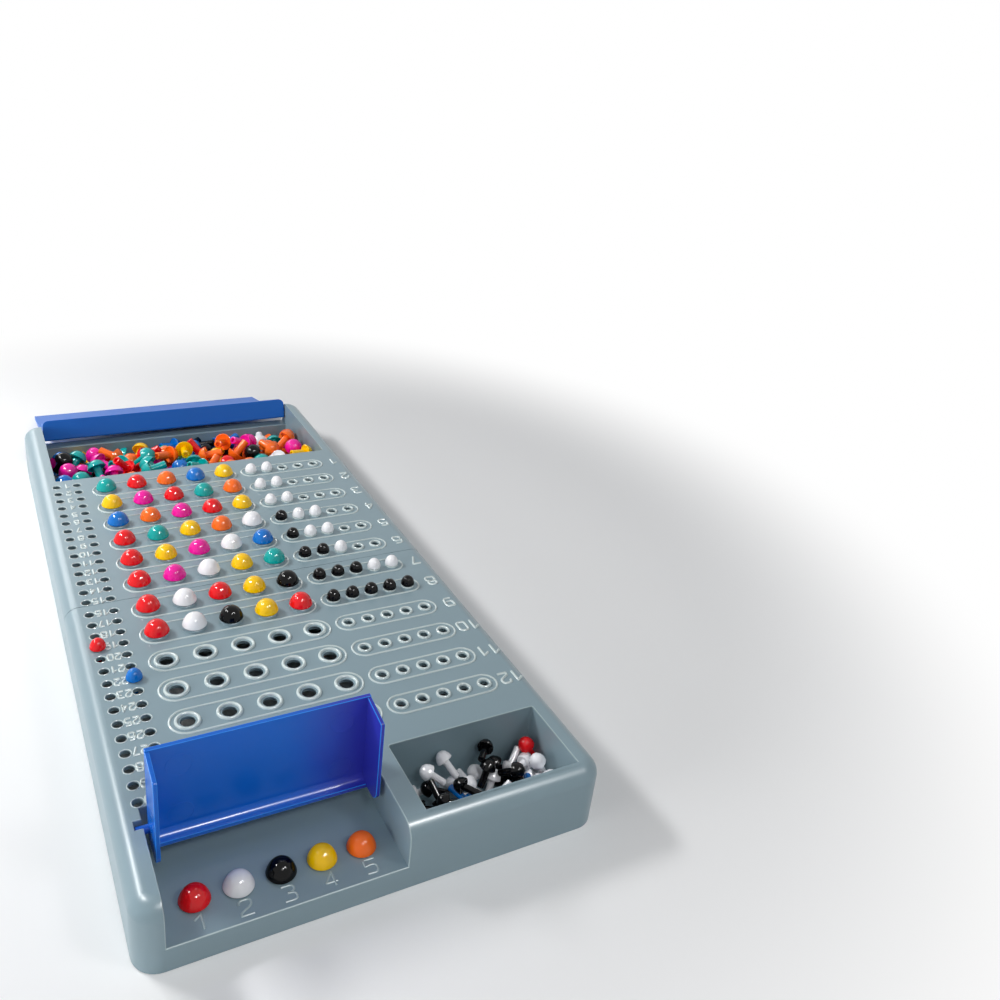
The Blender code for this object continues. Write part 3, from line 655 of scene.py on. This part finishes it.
def slab(outline, start, end):
    """A bmesh of an outline in Y and Z, drawn out along X."""
    bm = bmesh.new()
    face = bm.faces.new([bm.verts.new((start, y, z)) for y, z in outline])
    for grown in bmesh.ops.extrude_face_region(bm, geom=[face])["geom"]:
        if isinstance(grown, bmesh.types.BMVert):
            grown.co.x = end
    bmesh.ops.recalc_face_normals(bm, faces=bm.faces)
    return bm


def round_edges(bm, test, width, steps):
    """Round the edges that a test of their two ends chooses."""
    chosen = [e for e in bm.edges if test(*(v.co for v in e.verts))]
    bmesh.ops.bevel(bm, geom=chosen, offset=width, segments=steps, profile=0.5,
                    affect="EDGES", material=-1)


BLUE = paint(7, 99, 204)
blue_plastic = plastic("blue_plastic", BLUE, flow=0.12, roughness=0.22, grain=0.1, specular=0.28)
# The rims' lighter blue is a painted highlight along the rounded edges of the lid and shield.
blue_rims_painted_highlight = plastic("blue_rims_painted_highlight", paint(44, 136, 237),
                    flow=0.04, roughness=0.22, grain=0.1, specular=0.3)
lid_plastic = plastic("lid_plastic", paint(24, 104, 198),
                      flow=0.10, roughness=0.40, grain=0.4, specular=0.24)
lid = slab(((-LID_ARM, LID_TOP), (LID_BACK, LID_TOP), (LID_BACK, LID_FOOT),
            (LID_BACK - LID_PLATE, LID_FOOT), (LID_BACK - LID_PLATE, LID_TOP - LID_PLATE),
            (-LID_ARM, LID_TOP - LID_PLATE)), LID_LEFT, LID_RIGHT)
round_edges(lid, lambda a, b: abs(a.x - b.x) < SAME_PLACE
            and abs(a.z - LID_FOOT) + abs(b.z - LID_FOOT) < SAME_PLACE, LID_FOOT_ROUND, steps=6)
round_edges(lid, lambda a, b: abs(a.y - LID_BACK) + abs(b.y - LID_BACK)
            + abs(a.z - LID_TOP) + abs(b.z - LID_TOP) < SAME_PLACE, LID_BEND_ROUND, steps=5)
ear_back, ear_top = LID_BACK - LID_EAR_INSET, LID_TOP - LID_EAR_INSET
ear = ((ear_back, ear_top), (LID_EAR_FRONT, ear_top), (LID_EAR_FRONT, LID_EAR_SHOULDER),
       (LID_EAR_FRONT / 2, LID_EAR_FOOT), (ear_back, LID_EAR_FOOT))
lid = carved(lid, (
    ("UNION", slab(ear, LID_LEFT, LID_LEFT + LID_EAR_PLATE)),
    ("UNION", slab(ear, LID_RIGHT - LID_EAR_PLATE, LID_RIGHT)),
))
soften(lid, EDGE_ROUND, steps=2, chosen=lambda edge: True)
pin = (0, 0, LID_PIN_RADIUS, LID_PIN_SIDES)
pins = rods((LID_LEFT - LID_PIN_LENGTH, LID_LEFT + LID_PIN_ROOT, *pin),
            (LID_RIGHT - LID_PIN_ROOT, LID_RIGHT + LID_PIN_LENGTH, *pin))
lid = carved(lid, (("UNION", pins),))
lid.transform(Matrix.Translation((0, *LID_AXIS)) @ Matrix.Rotation(-math.pi - LID_TILT, 4, "X"))
finish_piece("compartment_lid", lid, lid_plastic, "peg_compartment_lid",
             ("peg_compartment_lid",), rim=blue_rims_painted_highlight)


# ------------------------------------------------------------------ Code shield
# The shield is a thin panel with a wing at each side and a foot that sweeps forward, moulded
# in the lid's blue plastic. Its two pins drop into open notches of the trough's walls.
SHIELD_LEFT, SHIELD_RIGHT = -0.07015, 0.00305
SHIELD_TOP = 0.0306
SHIELD_TAIL = 0.0061
PANEL_BACK = 0.0020
PANEL_FACE = 0.0004
HALF_PANEL = 0.0008
FOOT_REACH = 0.0030
FOOT_TOP = 0.0016 - SHIELD_TAIL
FOOT_BEND_ROUND = 0.0030
WING_REACH = 0.0116
WING_PLATE = 0.0014
WING_SLOPE = 0.0023
WING_TOE_ROUND = 0.0042
WING_TIP_ROUND = 0.0008
SHIELD_PIN_LENGTH = 0.0041
SHIELD_PIN_RADIUS = 0.0015
SHIELD_PIN_SIDES = 24
EJECTOR_MARK = ((0.0039, -0.0002), (0.00395, 0.00005), (0.0041, 0.00007), (0.00425, 0.00005),
                (0.0043, -0.0002))
MARKS_FROM_ENDS = 0.010
MARK_HEIGHTS = (0.0025, SHIELD_TOP - 0.0085)

shield = slab(((PANEL_BACK, -SHIELD_TAIL), (PANEL_BACK, SHIELD_TOP), (PANEL_FACE, SHIELD_TOP),
               (PANEL_FACE, FOOT_TOP), (-FOOT_REACH, FOOT_TOP),
               (-FOOT_REACH, -SHIELD_TAIL)), SHIELD_LEFT, SHIELD_RIGHT)
round_edges(shield, lambda a, b: abs(a.y - PANEL_FACE) + abs(b.y - PANEL_FACE)
            + abs(a.z - FOOT_TOP) + abs(b.z - FOOT_TOP) < SAME_PLACE, FOOT_BEND_ROUND, steps=7)
low_edge = HALF_PANEL - SHIELD_TAIL
inside = PANEL_BACK - HALF_PANEL / 2
wing_top = SHIELD_TOP - HALF_PANEL / 2
wing_outline = ((inside, low_edge), (inside, wing_top), (PANEL_FACE, wing_top),
                (-WING_REACH, SHIELD_TOP - WING_SLOPE), (-WING_REACH, low_edge))


def at_wing_front(a, b):
    """Whether an edge of two ends runs across a wing's free front."""
    return abs(a.x - b.x) > WING_PLATE / 2 and a.y < -WING_REACH + SAME_PLACE


wings = []
for left, right in ((SHIELD_LEFT, SHIELD_LEFT + WING_PLATE),
                    (SHIELD_RIGHT - WING_PLATE, SHIELD_RIGHT)):
    wing = slab(wing_outline, left, right)
    round_edges(wing, lambda a, b: at_wing_front(a, b) and a.z < 0, WING_TOE_ROUND, steps=7)
    round_edges(wing, lambda a, b: at_wing_front(a, b) and a.z > 0, WING_TIP_ROUND, steps=3)
    wings.append(("UNION", wing))
shield = carved(shield, wings)
soften(shield, EDGE_ROUND, steps=2, chosen=lambda edge: True)
pin = (0, 0, SHIELD_PIN_RADIUS, SHIELD_PIN_SIDES)
pins = rods((SHIELD_LEFT - SHIELD_PIN_LENGTH, SHIELD_LEFT + HALF_PANEL, *pin),
            (SHIELD_RIGHT - HALF_PANEL, SHIELD_RIGHT + SHIELD_PIN_LENGTH, *pin))
shield = carved(shield, (("UNION", pins),))


def add_shape(bm, shape):
    """Add one bmesh to another."""
    held = bpy.data.meshes.new("held")
    shape.to_mesh(held)
    shape.free()
    bm.from_mesh(held)
    bpy.data.meshes.remove(held)


marks = bmesh.new()
for x in (SHIELD_LEFT + MARKS_FROM_ENDS, SHIELD_RIGHT - MARKS_FROM_ENDS):
    for z in MARK_HEIGHTS:
        mark = bmesh.new()
        add_turned(mark, EJECTOR_MARK, (0, 0, 0), steps=36, closed=True)
        upright = Matrix.Rotation(math.pi / 2, 4, "X")
        mark.transform(Matrix.Translation((x, PANEL_FACE, z)) @ upright)
        add_shape(marks, mark)
bmesh.ops.recalc_face_normals(marks, faces=marks.faces)

# The shield's copy of the blue turns darker and more violet towards its right end: painted shade
# where less light reaches it.
shield_plastic_with_painted_shade = blue_plastic.copy()
shield_plastic_with_painted_shade.name = "shield_plastic_with_painted_shade"
nodes, links = shield_plastic_with_painted_shade.node_tree.nodes, shield_plastic_with_painted_shade.node_tree.links
place = nodes.new("ShaderNodeTexCoord")
axes = nodes.new("ShaderNodeSeparateXYZ")
right_end_shade = nodes.new("ShaderNodeMapRange")
right_end_shade.interpolation_type = "SMOOTHSTEP"
right_end_shade.inputs["From Min"].default_value = -0.030
right_end_shade.inputs["From Max"].default_value = 0.002
shade_tint = nodes.new("ShaderNodeMix")
shade_tint.data_type = "RGBA"
shade_tint.inputs["A"].default_value = BLUE
shade_tint.inputs["B"].default_value = paint(49, 55, 173)
links.new(place.outputs["Object"], axes.inputs["Vector"])
links.new(axes.outputs["X"], right_end_shade.inputs["Value"])
links.new(right_end_shade.outputs["Result"], shade_tint.inputs["Factor"])
links.new(shade_tint.outputs["Result"], next(n for n in nodes if n.type == "GROUP").inputs["Colour"])
for shape in (shield, marks):
    shape.transform(Matrix.Translation((0, *SHIELD_AXIS)))
finish_piece("shield_panel", shield, shield_plastic_with_painted_shade, "code_shield",
             ("code_shield",), rim=blue_rims_painted_highlight)
finish_piece("shield_ejector_marks", marks, shield_plastic_with_painted_shade, "code_shield")


# ------------------------------------------------------------------ Guess pegs and code pegs
# Turned-looking pegs moulded in eight glossy colours: an egg-shaped head with a steep rim,
# hollow underneath, on a straight stem with a small recess in its end.
GUESS_PEG = ((0, 0.00500), (0.0009, 0.00494), (0.0018, 0.00471), (0.0026, 0.00429),
             (0.0033, 0.00368), (0.00388, 0.00292), (0.00435, 0.00206), (0.0047, 0.00120),
             (0.0049, 0.00060), (0.0050, 0.00024), (0.0049, 0.00003), (0.0046, 0.0),
             (0.0040, 0.0005), (0.0023, 0.0009), (0.0022, 0.0), (0.0022, -0.0087),
             (0.0019, -0.0090), (0.0013, -0.0090), (0.0012, -0.0070), (0, -0.0070))
PEG_COLOURS = {
    "teal": paint(0, 164, 160),
    "red": paint(236, 14, 24),
    "orange": paint(252, 110, 26),
    "blue": paint(0, 112, 200),
    "yellow": paint(255, 201, 0),
    "magenta": paint(240, 20, 158),
    "white": paint(243, 243, 246),
    "black": paint(6, 6, 8),
}
PLACED_GUESSES = (
    "teal red orange blue yellow", "yellow magenta red teal orange",
    "blue orange magenta red yellow", "red teal yellow orange white",
    "red yellow magenta white blue", "red magenta white yellow teal",
    "red white red yellow black", "red white black yellow red",
)
CODE = "red white black yellow orange"
GUESS_PEG_SEAT = 0.0013
GUESS_PEG_STEPS = 32
CODE_PEG_STEPS = 48
PEG_CREASE = 50
PEG_GLOSS = {"black": 0.18, "white": 0.4}
USUAL_PEG_GLOSS = 0.32

peg_plastics = {name: plastic(name + "_peg_plastic", colour, flow=0.06, roughness=0.07,
                              grain=0.2, specular=PEG_GLOSS.get(name, USUAL_PEG_GLOSS))
                for name, colour in PEG_COLOURS.items()}


def peg(outline, place, steps):
    """One peg, standing with its head's rim at a place."""
    bm = bmesh.new()
    add_turned(bm, outline, place, steps)
    return closed_up(bm)


def finish_pegs(name, pegs, colour, body, nodes=()):
    """Finish one peg, or several of one colour, as a piece."""
    finish_piece(name, pegs, peg_plastics[colour], body, nodes, crease=PEG_CREASE)


def stand_peg(node, outline, place, steps, colour):
    """A peg that takes the place of its node."""
    finish_pegs(f"{colour}_{node}", peg(outline, place, steps), colour, node, (node,))


for row, colours in enumerate(PLACED_GUESSES, 1):
    for column, colour in enumerate(colours.split(), 1):
        place = (FIRST_GUESS.x + (column - 1) * GUESS_PITCH, row_place(row), DECK + GUESS_PEG_SEAT)
        stand_peg(f"guess_peg_r{row}_c{column}", GUESS_PEG, place, GUESS_PEG_STEPS, colour)
for column, colour in enumerate(CODE.split(), 1):
    place = (FIRST_CODE + (column - 1) * CODE_PITCH, CODE_ROW, TROUGH[0].z + SEAM_GAP)
    stand_peg(f"code_peg_{column}", GUESS_PEG, place, CODE_PEG_STEPS, colour)


# ------------------------------------------------------------------ Key pegs and score pegs
# The same peg in small, black and white beside the rows, with a red and a blue one that
# count the score. Those without a body of their own stand on the board's halves.
KEY_PEG = ((0, 0.0040), (0.0007, 0.00394), (0.0014, 0.00368), (0.0020, 0.00318),
           (0.0025, 0.00245), (0.0029, 0.00150), (0.00306, 0.0006), (0.0031, 0.0003),
           (0.0030, 0.00003), (0.0028, 0.0), (0.0022, 0.0004), (0.0014, 0.0006),
           (0.0013, 0.0), (0.0013, -0.0067), (0.0010, -0.0070), (0, -0.0070))
PLACED_KEYS = ("WW", "WW", "WW", "BWW", "BWW", "BBW", "BBBWW", "BBBBB")
ROWS_WITH_KEY_NODES = (1, 8)
KEY_COLOURS = {"W": "white", "B": "black"}
KEY_PEG_SEAT = 0.0009
KEY_PEG_STEPS = 24
SCORES_MARKED = (19, 22)

for row, keys in enumerate(PLACED_KEYS, 1):
    half = "rear_half" if row in ROWS["rear"] else "front_half"
    for letter in sorted(set(keys)):
        colour = KEY_COLOURS[letter]
        shared = bmesh.new()
        for column, key in enumerate(keys, 1):
            if key != letter:
                continue
            place = (FIRST_KEY + (column - 1) * KEY_PITCH, row_place(row), DECK + KEY_PEG_SEAT)
            if row in ROWS_WITH_KEY_NODES:
                stand_peg(f"key_peg_r{row}_{column}", KEY_PEG, place, KEY_PEG_STEPS, colour)
            else:
                add_turned(shared, KEY_PEG, place, KEY_PEG_STEPS)
        if shared.verts:
            finish_pegs(f"{colour}_key_pegs_r{row}", closed_up(shared), colour, half)
        else:
            shared.free()
for side, x, score, colour in zip(("left", "right"), SCORE_COLUMNS, SCORES_MARKED,
                                  ("red", "blue")):
    stand_peg("score_peg_" + side, KEY_PEG, (x, score_row(score), DECK + SEAM_GAP),
              KEY_PEG_STEPS, colour)


# ------------------------------------------------------------------ Loose pegs
# The spare pegs lie tumbled in the compartment and in the key tray. Each is dropped in turn
# on those below it, as a short string of balls, at the lowest place of several tried.
HEAP_GUESS_PEG = ((0, 0.0047), (0.0018, 0.00446), (0.0034, 0.00360), (0.0045, 0.00210),
                  (0.0051, 0.0003), (0.0047, 0.0), (0.0036, 0.0006), (0.0022, 0.0008),
                  (0.0022, -0.0088), (0.0019, -0.0090), (0.0013, -0.0090), (0.0012, -0.0070),
                  (0, -0.0070))
HEAP_KEY_PEG = ((0, 0.0040), (0.0012, 0.00376), (0.0022, 0.00295), (0.0029, 0.00150),
                (0.0031, 0.0003), (0.0028, 0.0), (0.0020, 0.0005), (0.0013, 0.0005),
                (0.0013, -0.0068), (0.0010, -0.0070), (0, -0.0070))
GUESS_BALLS = ((0.0006, 0.0042), (-0.0026, 0.0023), (-0.0052, 0.0023), (-0.0070, 0.0021))
KEY_BALLS = ((0.0008, 0.0028), (-0.0020, 0.0014), (-0.0040, 0.0014), (-0.0057, 0.0013))
HEAP_STEPS = 14
HEAD_DOWN, HEAD_UP = -0.8, 0.95
SPARE = Vector((0.0003, 0.0003, 0.0003))
SKIRT_CEILING = 0.0130
SKIRT_SWEEP = 0.1290
SWEEP_SLOPE = 0.45
LID_CEILING_RISE = 0.0102
TRAY_CEILING = 0.0200
COMPARTMENT_ZONES = (
    (0.25, "magenta yellow red blue orange magenta teal blue magenta black"),
    (0.55, "teal blue red teal orange yellow black teal magenta blue"),
    (0.82, "orange black blue teal red orange yellow blue black magenta"),
    (1.00, "magenta white yellow magenta orange teal orange white magenta"),
)
TRAY_COLOURS = ("black white black white white black white white black red white black "
                "white black white blue white black white black").split()


def tumbled(balls, pocket, ceiling, density, seed, count, tries):
    """Where loose pegs come to rest: their rim's centre and the direction of their head."""
    low = pocket[0] + SPARE
    high = Vector((pocket[1].x, pocket[1].y, 0)) - SPARE
    draw = random.Random(seed)
    offsets = np.array([along for along, radius in balls])
    sizes = np.array([radius for along, radius in balls])
    lying_at = np.zeros((0, 3))
    lying_size = np.zeros(0)
    result = []
    for _ in range(count):
        best = None
        for _ in range(tries):
            lift = draw.uniform(HEAD_DOWN, HEAD_UP)
            yaw = draw.uniform(0, math.tau)
            flat = math.sqrt(1 - lift * lift)
            head = np.array((flat * math.cos(yaw), flat * math.sin(yaw), lift))
            x = low.x + (high.x - low.x) * density(draw)
            y = draw.uniform(low.y, high.y)
            places = np.array((x, y, 0.0)) + offsets[:, None] * head
            inside = ((places[:, 0] - sizes > low.x) & (places[:, 0] + sizes < high.x)
                      & (places[:, 1] - sizes > low.y) & (places[:, 1] + sizes < high.y))
            if not inside.all():
                continue
            rest = (low.z + sizes - places[:, 2]).max()
            if len(lying_at):
                apart = np.hypot(places[:, None, 0] - lying_at[None, :, 0],
                                 places[:, None, 1] - lying_at[None, :, 1])
                reach = sizes[:, None] + lying_size[None, :]
                near = apart < reach
                if near.any():
                    above = lying_at[None, :, 2] + np.sqrt(np.maximum(reach ** 2 - apart ** 2, 0))
                    rest = max(rest, (above - places[:, None, 2])[near].max())
            places[:, 2] += rest
            tops = places[:, 2] + sizes
            if (tops > [ceiling(*p[:2]) for p in places]).any():
                continue
            height = places[:, 2].mean()
            if best is None or height < best[0]:
                best = (height, places, Vector((x, y, rest)), Vector(head))
        if best is None:
            continue
        lying_at = np.vstack((lying_at, best[1]))
        lying_size = np.concatenate((lying_size, sizes))
        result.append(best[2:])
    return result


def heap(node, kind, outline, pegs, colour_of):
    """The loose pegs as one piece for each colour, in place of the node of the heap."""
    shapes = {}
    for index, (place, head) in enumerate(pegs):
        shape = peg(outline, (0, 0, 0), HEAP_STEPS)
        turn = Vector((0, 0, 1)).rotation_difference(head).to_matrix().to_4x4()
        shape.transform(Matrix.Translation(place) @ turn)
        colour = colour_of(index, place)
        if colour not in shapes:
            shapes[colour] = bmesh.new()
        add_shape(shapes[colour], shape)
    for index, (colour, shape) in enumerate(sorted(shapes.items())):
        finish_pegs(f"loose_{colour}_{kind}_pegs", shape, colour, node,
                    (node,) if index == 0 else ())


def compartment_ceiling(x, y):
    """How high a loose peg may reach under the closed lid and clear of its skirt's sweep."""
    return SKIRT_CEILING + min(max(SKIRT_SWEEP - y, 0) * SWEEP_SLOPE, LID_CEILING_RISE)


colour_draw = random.Random(4)


def guess_colour(index, place):
    """The colour of a loose guess peg, which changes along the compartment."""
    left, right = COMPARTMENT[0].x, COMPARTMENT[1].x
    share = (place.x - left) / (right - left)
    names = next(names for limit, names in COMPARTMENT_ZONES if share <= limit).split()
    return colour_draw.choice(names)


def tray_colour(index, place):
    """The colour of a loose key peg."""
    return TRAY_COLOURS[index % len(TRAY_COLOURS)]


guess_heap = tumbled(GUESS_BALLS, COMPARTMENT, compartment_ceiling, lambda draw: draw.random(),
                     seed=11, count=175, tries=34)
heap("loose_guess_pegs", "guess", HEAP_GUESS_PEG, guess_heap, guess_colour)

# The key pegs were shaken towards the right end of their tray
key_heap = tumbled(KEY_BALLS, KEY_TRAY, lambda x, y: TRAY_CEILING,
                   lambda draw: 1 - draw.random() ** 1.6 * 0.85, seed=7, count=44, tries=12)
heap("loose_key_pegs", "key", HEAP_KEY_PEG, key_heap, tray_colour)


# ------------------------------------------------------------------ Floor, light and camera
# A plain pale floor under soft studio lamps: a broad one from the rear left, a low one that
# fills from the left, two from the front, and small ones that only make highlights.
def seen_background(nodes, links):
    """1 for the rays that show the background itself, straight, mirrored or through glass."""
    path = nodes.new("ShaderNodeLightPath")
    seen = path.outputs["Is Camera Ray"]
    for kind in ("Is Glossy Ray", "Is Transmission Ray"):
        either = nodes.new("ShaderNodeMath")
        either.operation = "ADD"
        either.use_clamp = True
        links.new(seen, either.inputs[0])
        links.new(path.outputs[kind], either.inputs[1])
        seen = either.outputs["Value"]
    return seen


def floor_material():
    """White paint that keeps the shadow near the game and fades into the white background."""
    made = bpy.data.materials.new("pale_floor")
    made.use_nodes = True
    nodes, links = made.node_tree.nodes, made.node_tree.links
    shader = nodes["Principled BSDF"]
    shader.inputs["Base Color"].default_value = (0.92, 0.92, 0.92, 1)
    shader.inputs["Roughness"].default_value = 0.8
    shader.inputs["Specular IOR Level"].default_value = 0.1
    glow = nodes.new("ShaderNodeEmission")
    blend = nodes.new("ShaderNodeMixShader")
    place = nodes.new("ShaderNodeTexCoord")
    away = nodes.new("ShaderNodeVectorMath")
    away.operation = "LENGTH"
    fade = nodes.new("ShaderNodeMapRange")
    fade.interpolation_type = "SMOOTHSTEP"
    fade.inputs["From Min"].default_value = 0.235
    fade.inputs["From Max"].default_value = 0.40
    both = nodes.new("ShaderNodeMath")
    both.operation = "MULTIPLY"
    links.new(place.outputs["Object"], away.inputs[0])
    links.new(away.outputs["Value"], fade.inputs["Value"])
    links.new(seen_background(nodes, links), both.inputs[0])
    links.new(fade.outputs["Result"], both.inputs[1])
    links.new(both.outputs["Value"], blend.inputs["Fac"])
    links.new(shader.outputs["BSDF"], blend.inputs[1])
    links.new(glow.outputs["Emission"], blend.inputs[2])
    links.new(blend.outputs["Shader"], nodes["Material Output"].inputs["Surface"])
    return made


FLOOR_HALF_SIZE = 6
FLOOR_DROP = 0.0002

floor_shape = bmesh.new()
bmesh.ops.create_grid(floor_shape, x_segments=1, y_segments=1, size=FLOOR_HALF_SIZE)
floor_mesh = bpy.data.meshes.new("floor")
floor_shape.to_mesh(floor_mesh)
floor_shape.free()
floor_mesh.materials.append(floor_material())
floor = bpy.data.objects.new("floor", floor_mesh)
bpy.context.scene.collection.objects.link(floor)
floor.location = (0, 0, -FLOOR_DROP)

world = bpy.data.worlds.new("studio")
bpy.context.scene.world = world
world.use_nodes = True
nodes, links = world.node_tree.nodes, world.node_tree.links
ambient = nodes["Background"]
ambient.inputs["Color"].default_value = (0.93, 0.96, 1.0, 1)
ambient.inputs["Strength"].default_value = 0.24
white = nodes.new("ShaderNodeBackground")
white.inputs["Color"].default_value = (1, 1, 1, 1)
blend = nodes.new("ShaderNodeMixShader")
links.new(seen_background(nodes, links), blend.inputs["Fac"])
links.new(ambient.outputs["Background"], blend.inputs[1])
links.new(white.outputs["Background"], blend.inputs[2])
links.new(blend.outputs["Shader"], nodes["World Output"].inputs["Surface"])


def softbox(name, place, aim, size, watts):
    """A soft studio lamp turned to a point of the game."""
    lamp = bpy.data.lights.new(name, "AREA")
    lamp.shape = "RECTANGLE"
    lamp.size, lamp.size_y = size
    lamp.energy = watts
    stand = bpy.data.objects.new(name, lamp)
    bpy.context.scene.collection.objects.link(stand)
    stand.location = place
    stand.rotation_euler = (Vector(aim) - Vector(place)).to_track_quat("-Z", "Y").to_euler()
    return stand


softbox("broad_lamp", (-0.36, 0.20, 0.43), aim=(-0.02, 0, 0), size=(0.20, 0.07), watts=2.3)
fill_lamp = softbox("fill_lamp", (-0.80, -0.24, 0.20), aim=(0, -0.05, 0), size=(0.40, 0.25),
                    watts=2.8)
fill_lamp.visible_glossy = False
softbox("front_lamp", (-0.05, -0.75, 0.75), aim=(0, -0.08, 0), size=(0.20, 0.20), watts=1.5)
softbox("side_lamp", (0.45, -0.65, 0.75), aim=(0, -0.08, 0), size=(0.20, 0.20), watts=1.2)
for name, place, size, watts in (("rear_sheen", (-0.30, 0.90, 0.49), (0.52, 0.30), 3.2),
                                 ("streak_glint", (-0.40, 0.04, 0.62), (0.18, 0.05), 3.4),
                                 ("left_glint", (0.08, -0.62, 0.72), (0.06, 0.07), 4.4),
                                 ("right_glint", (0.27, -0.50, 0.72), (0.06, 0.07), 4.4)):
    glint = softbox(name, place, (0, -0.05, 0), size, watts)
    glint.visible_diffuse = False

scene = bpy.context.scene
scene.view_settings.view_transform = "Standard"
camera_data = bpy.data.cameras.new("camera")
camera_data.sensor_width = 36
camera_data.lens = 34.01
camera_data.shift_x = 0.05
camera_data.shift_y = -0.05
camera_data.clip_start = 0.01
camera = bpy.data.objects.new("camera", camera_data)
scene.collection.objects.link(camera)
camera.location = (-0.1026, -0.4044, 0.2607)
camera.rotation_euler = Euler(math.radians(a) for a in (65.312, -5.158, -26.559))
scene.camera = camera
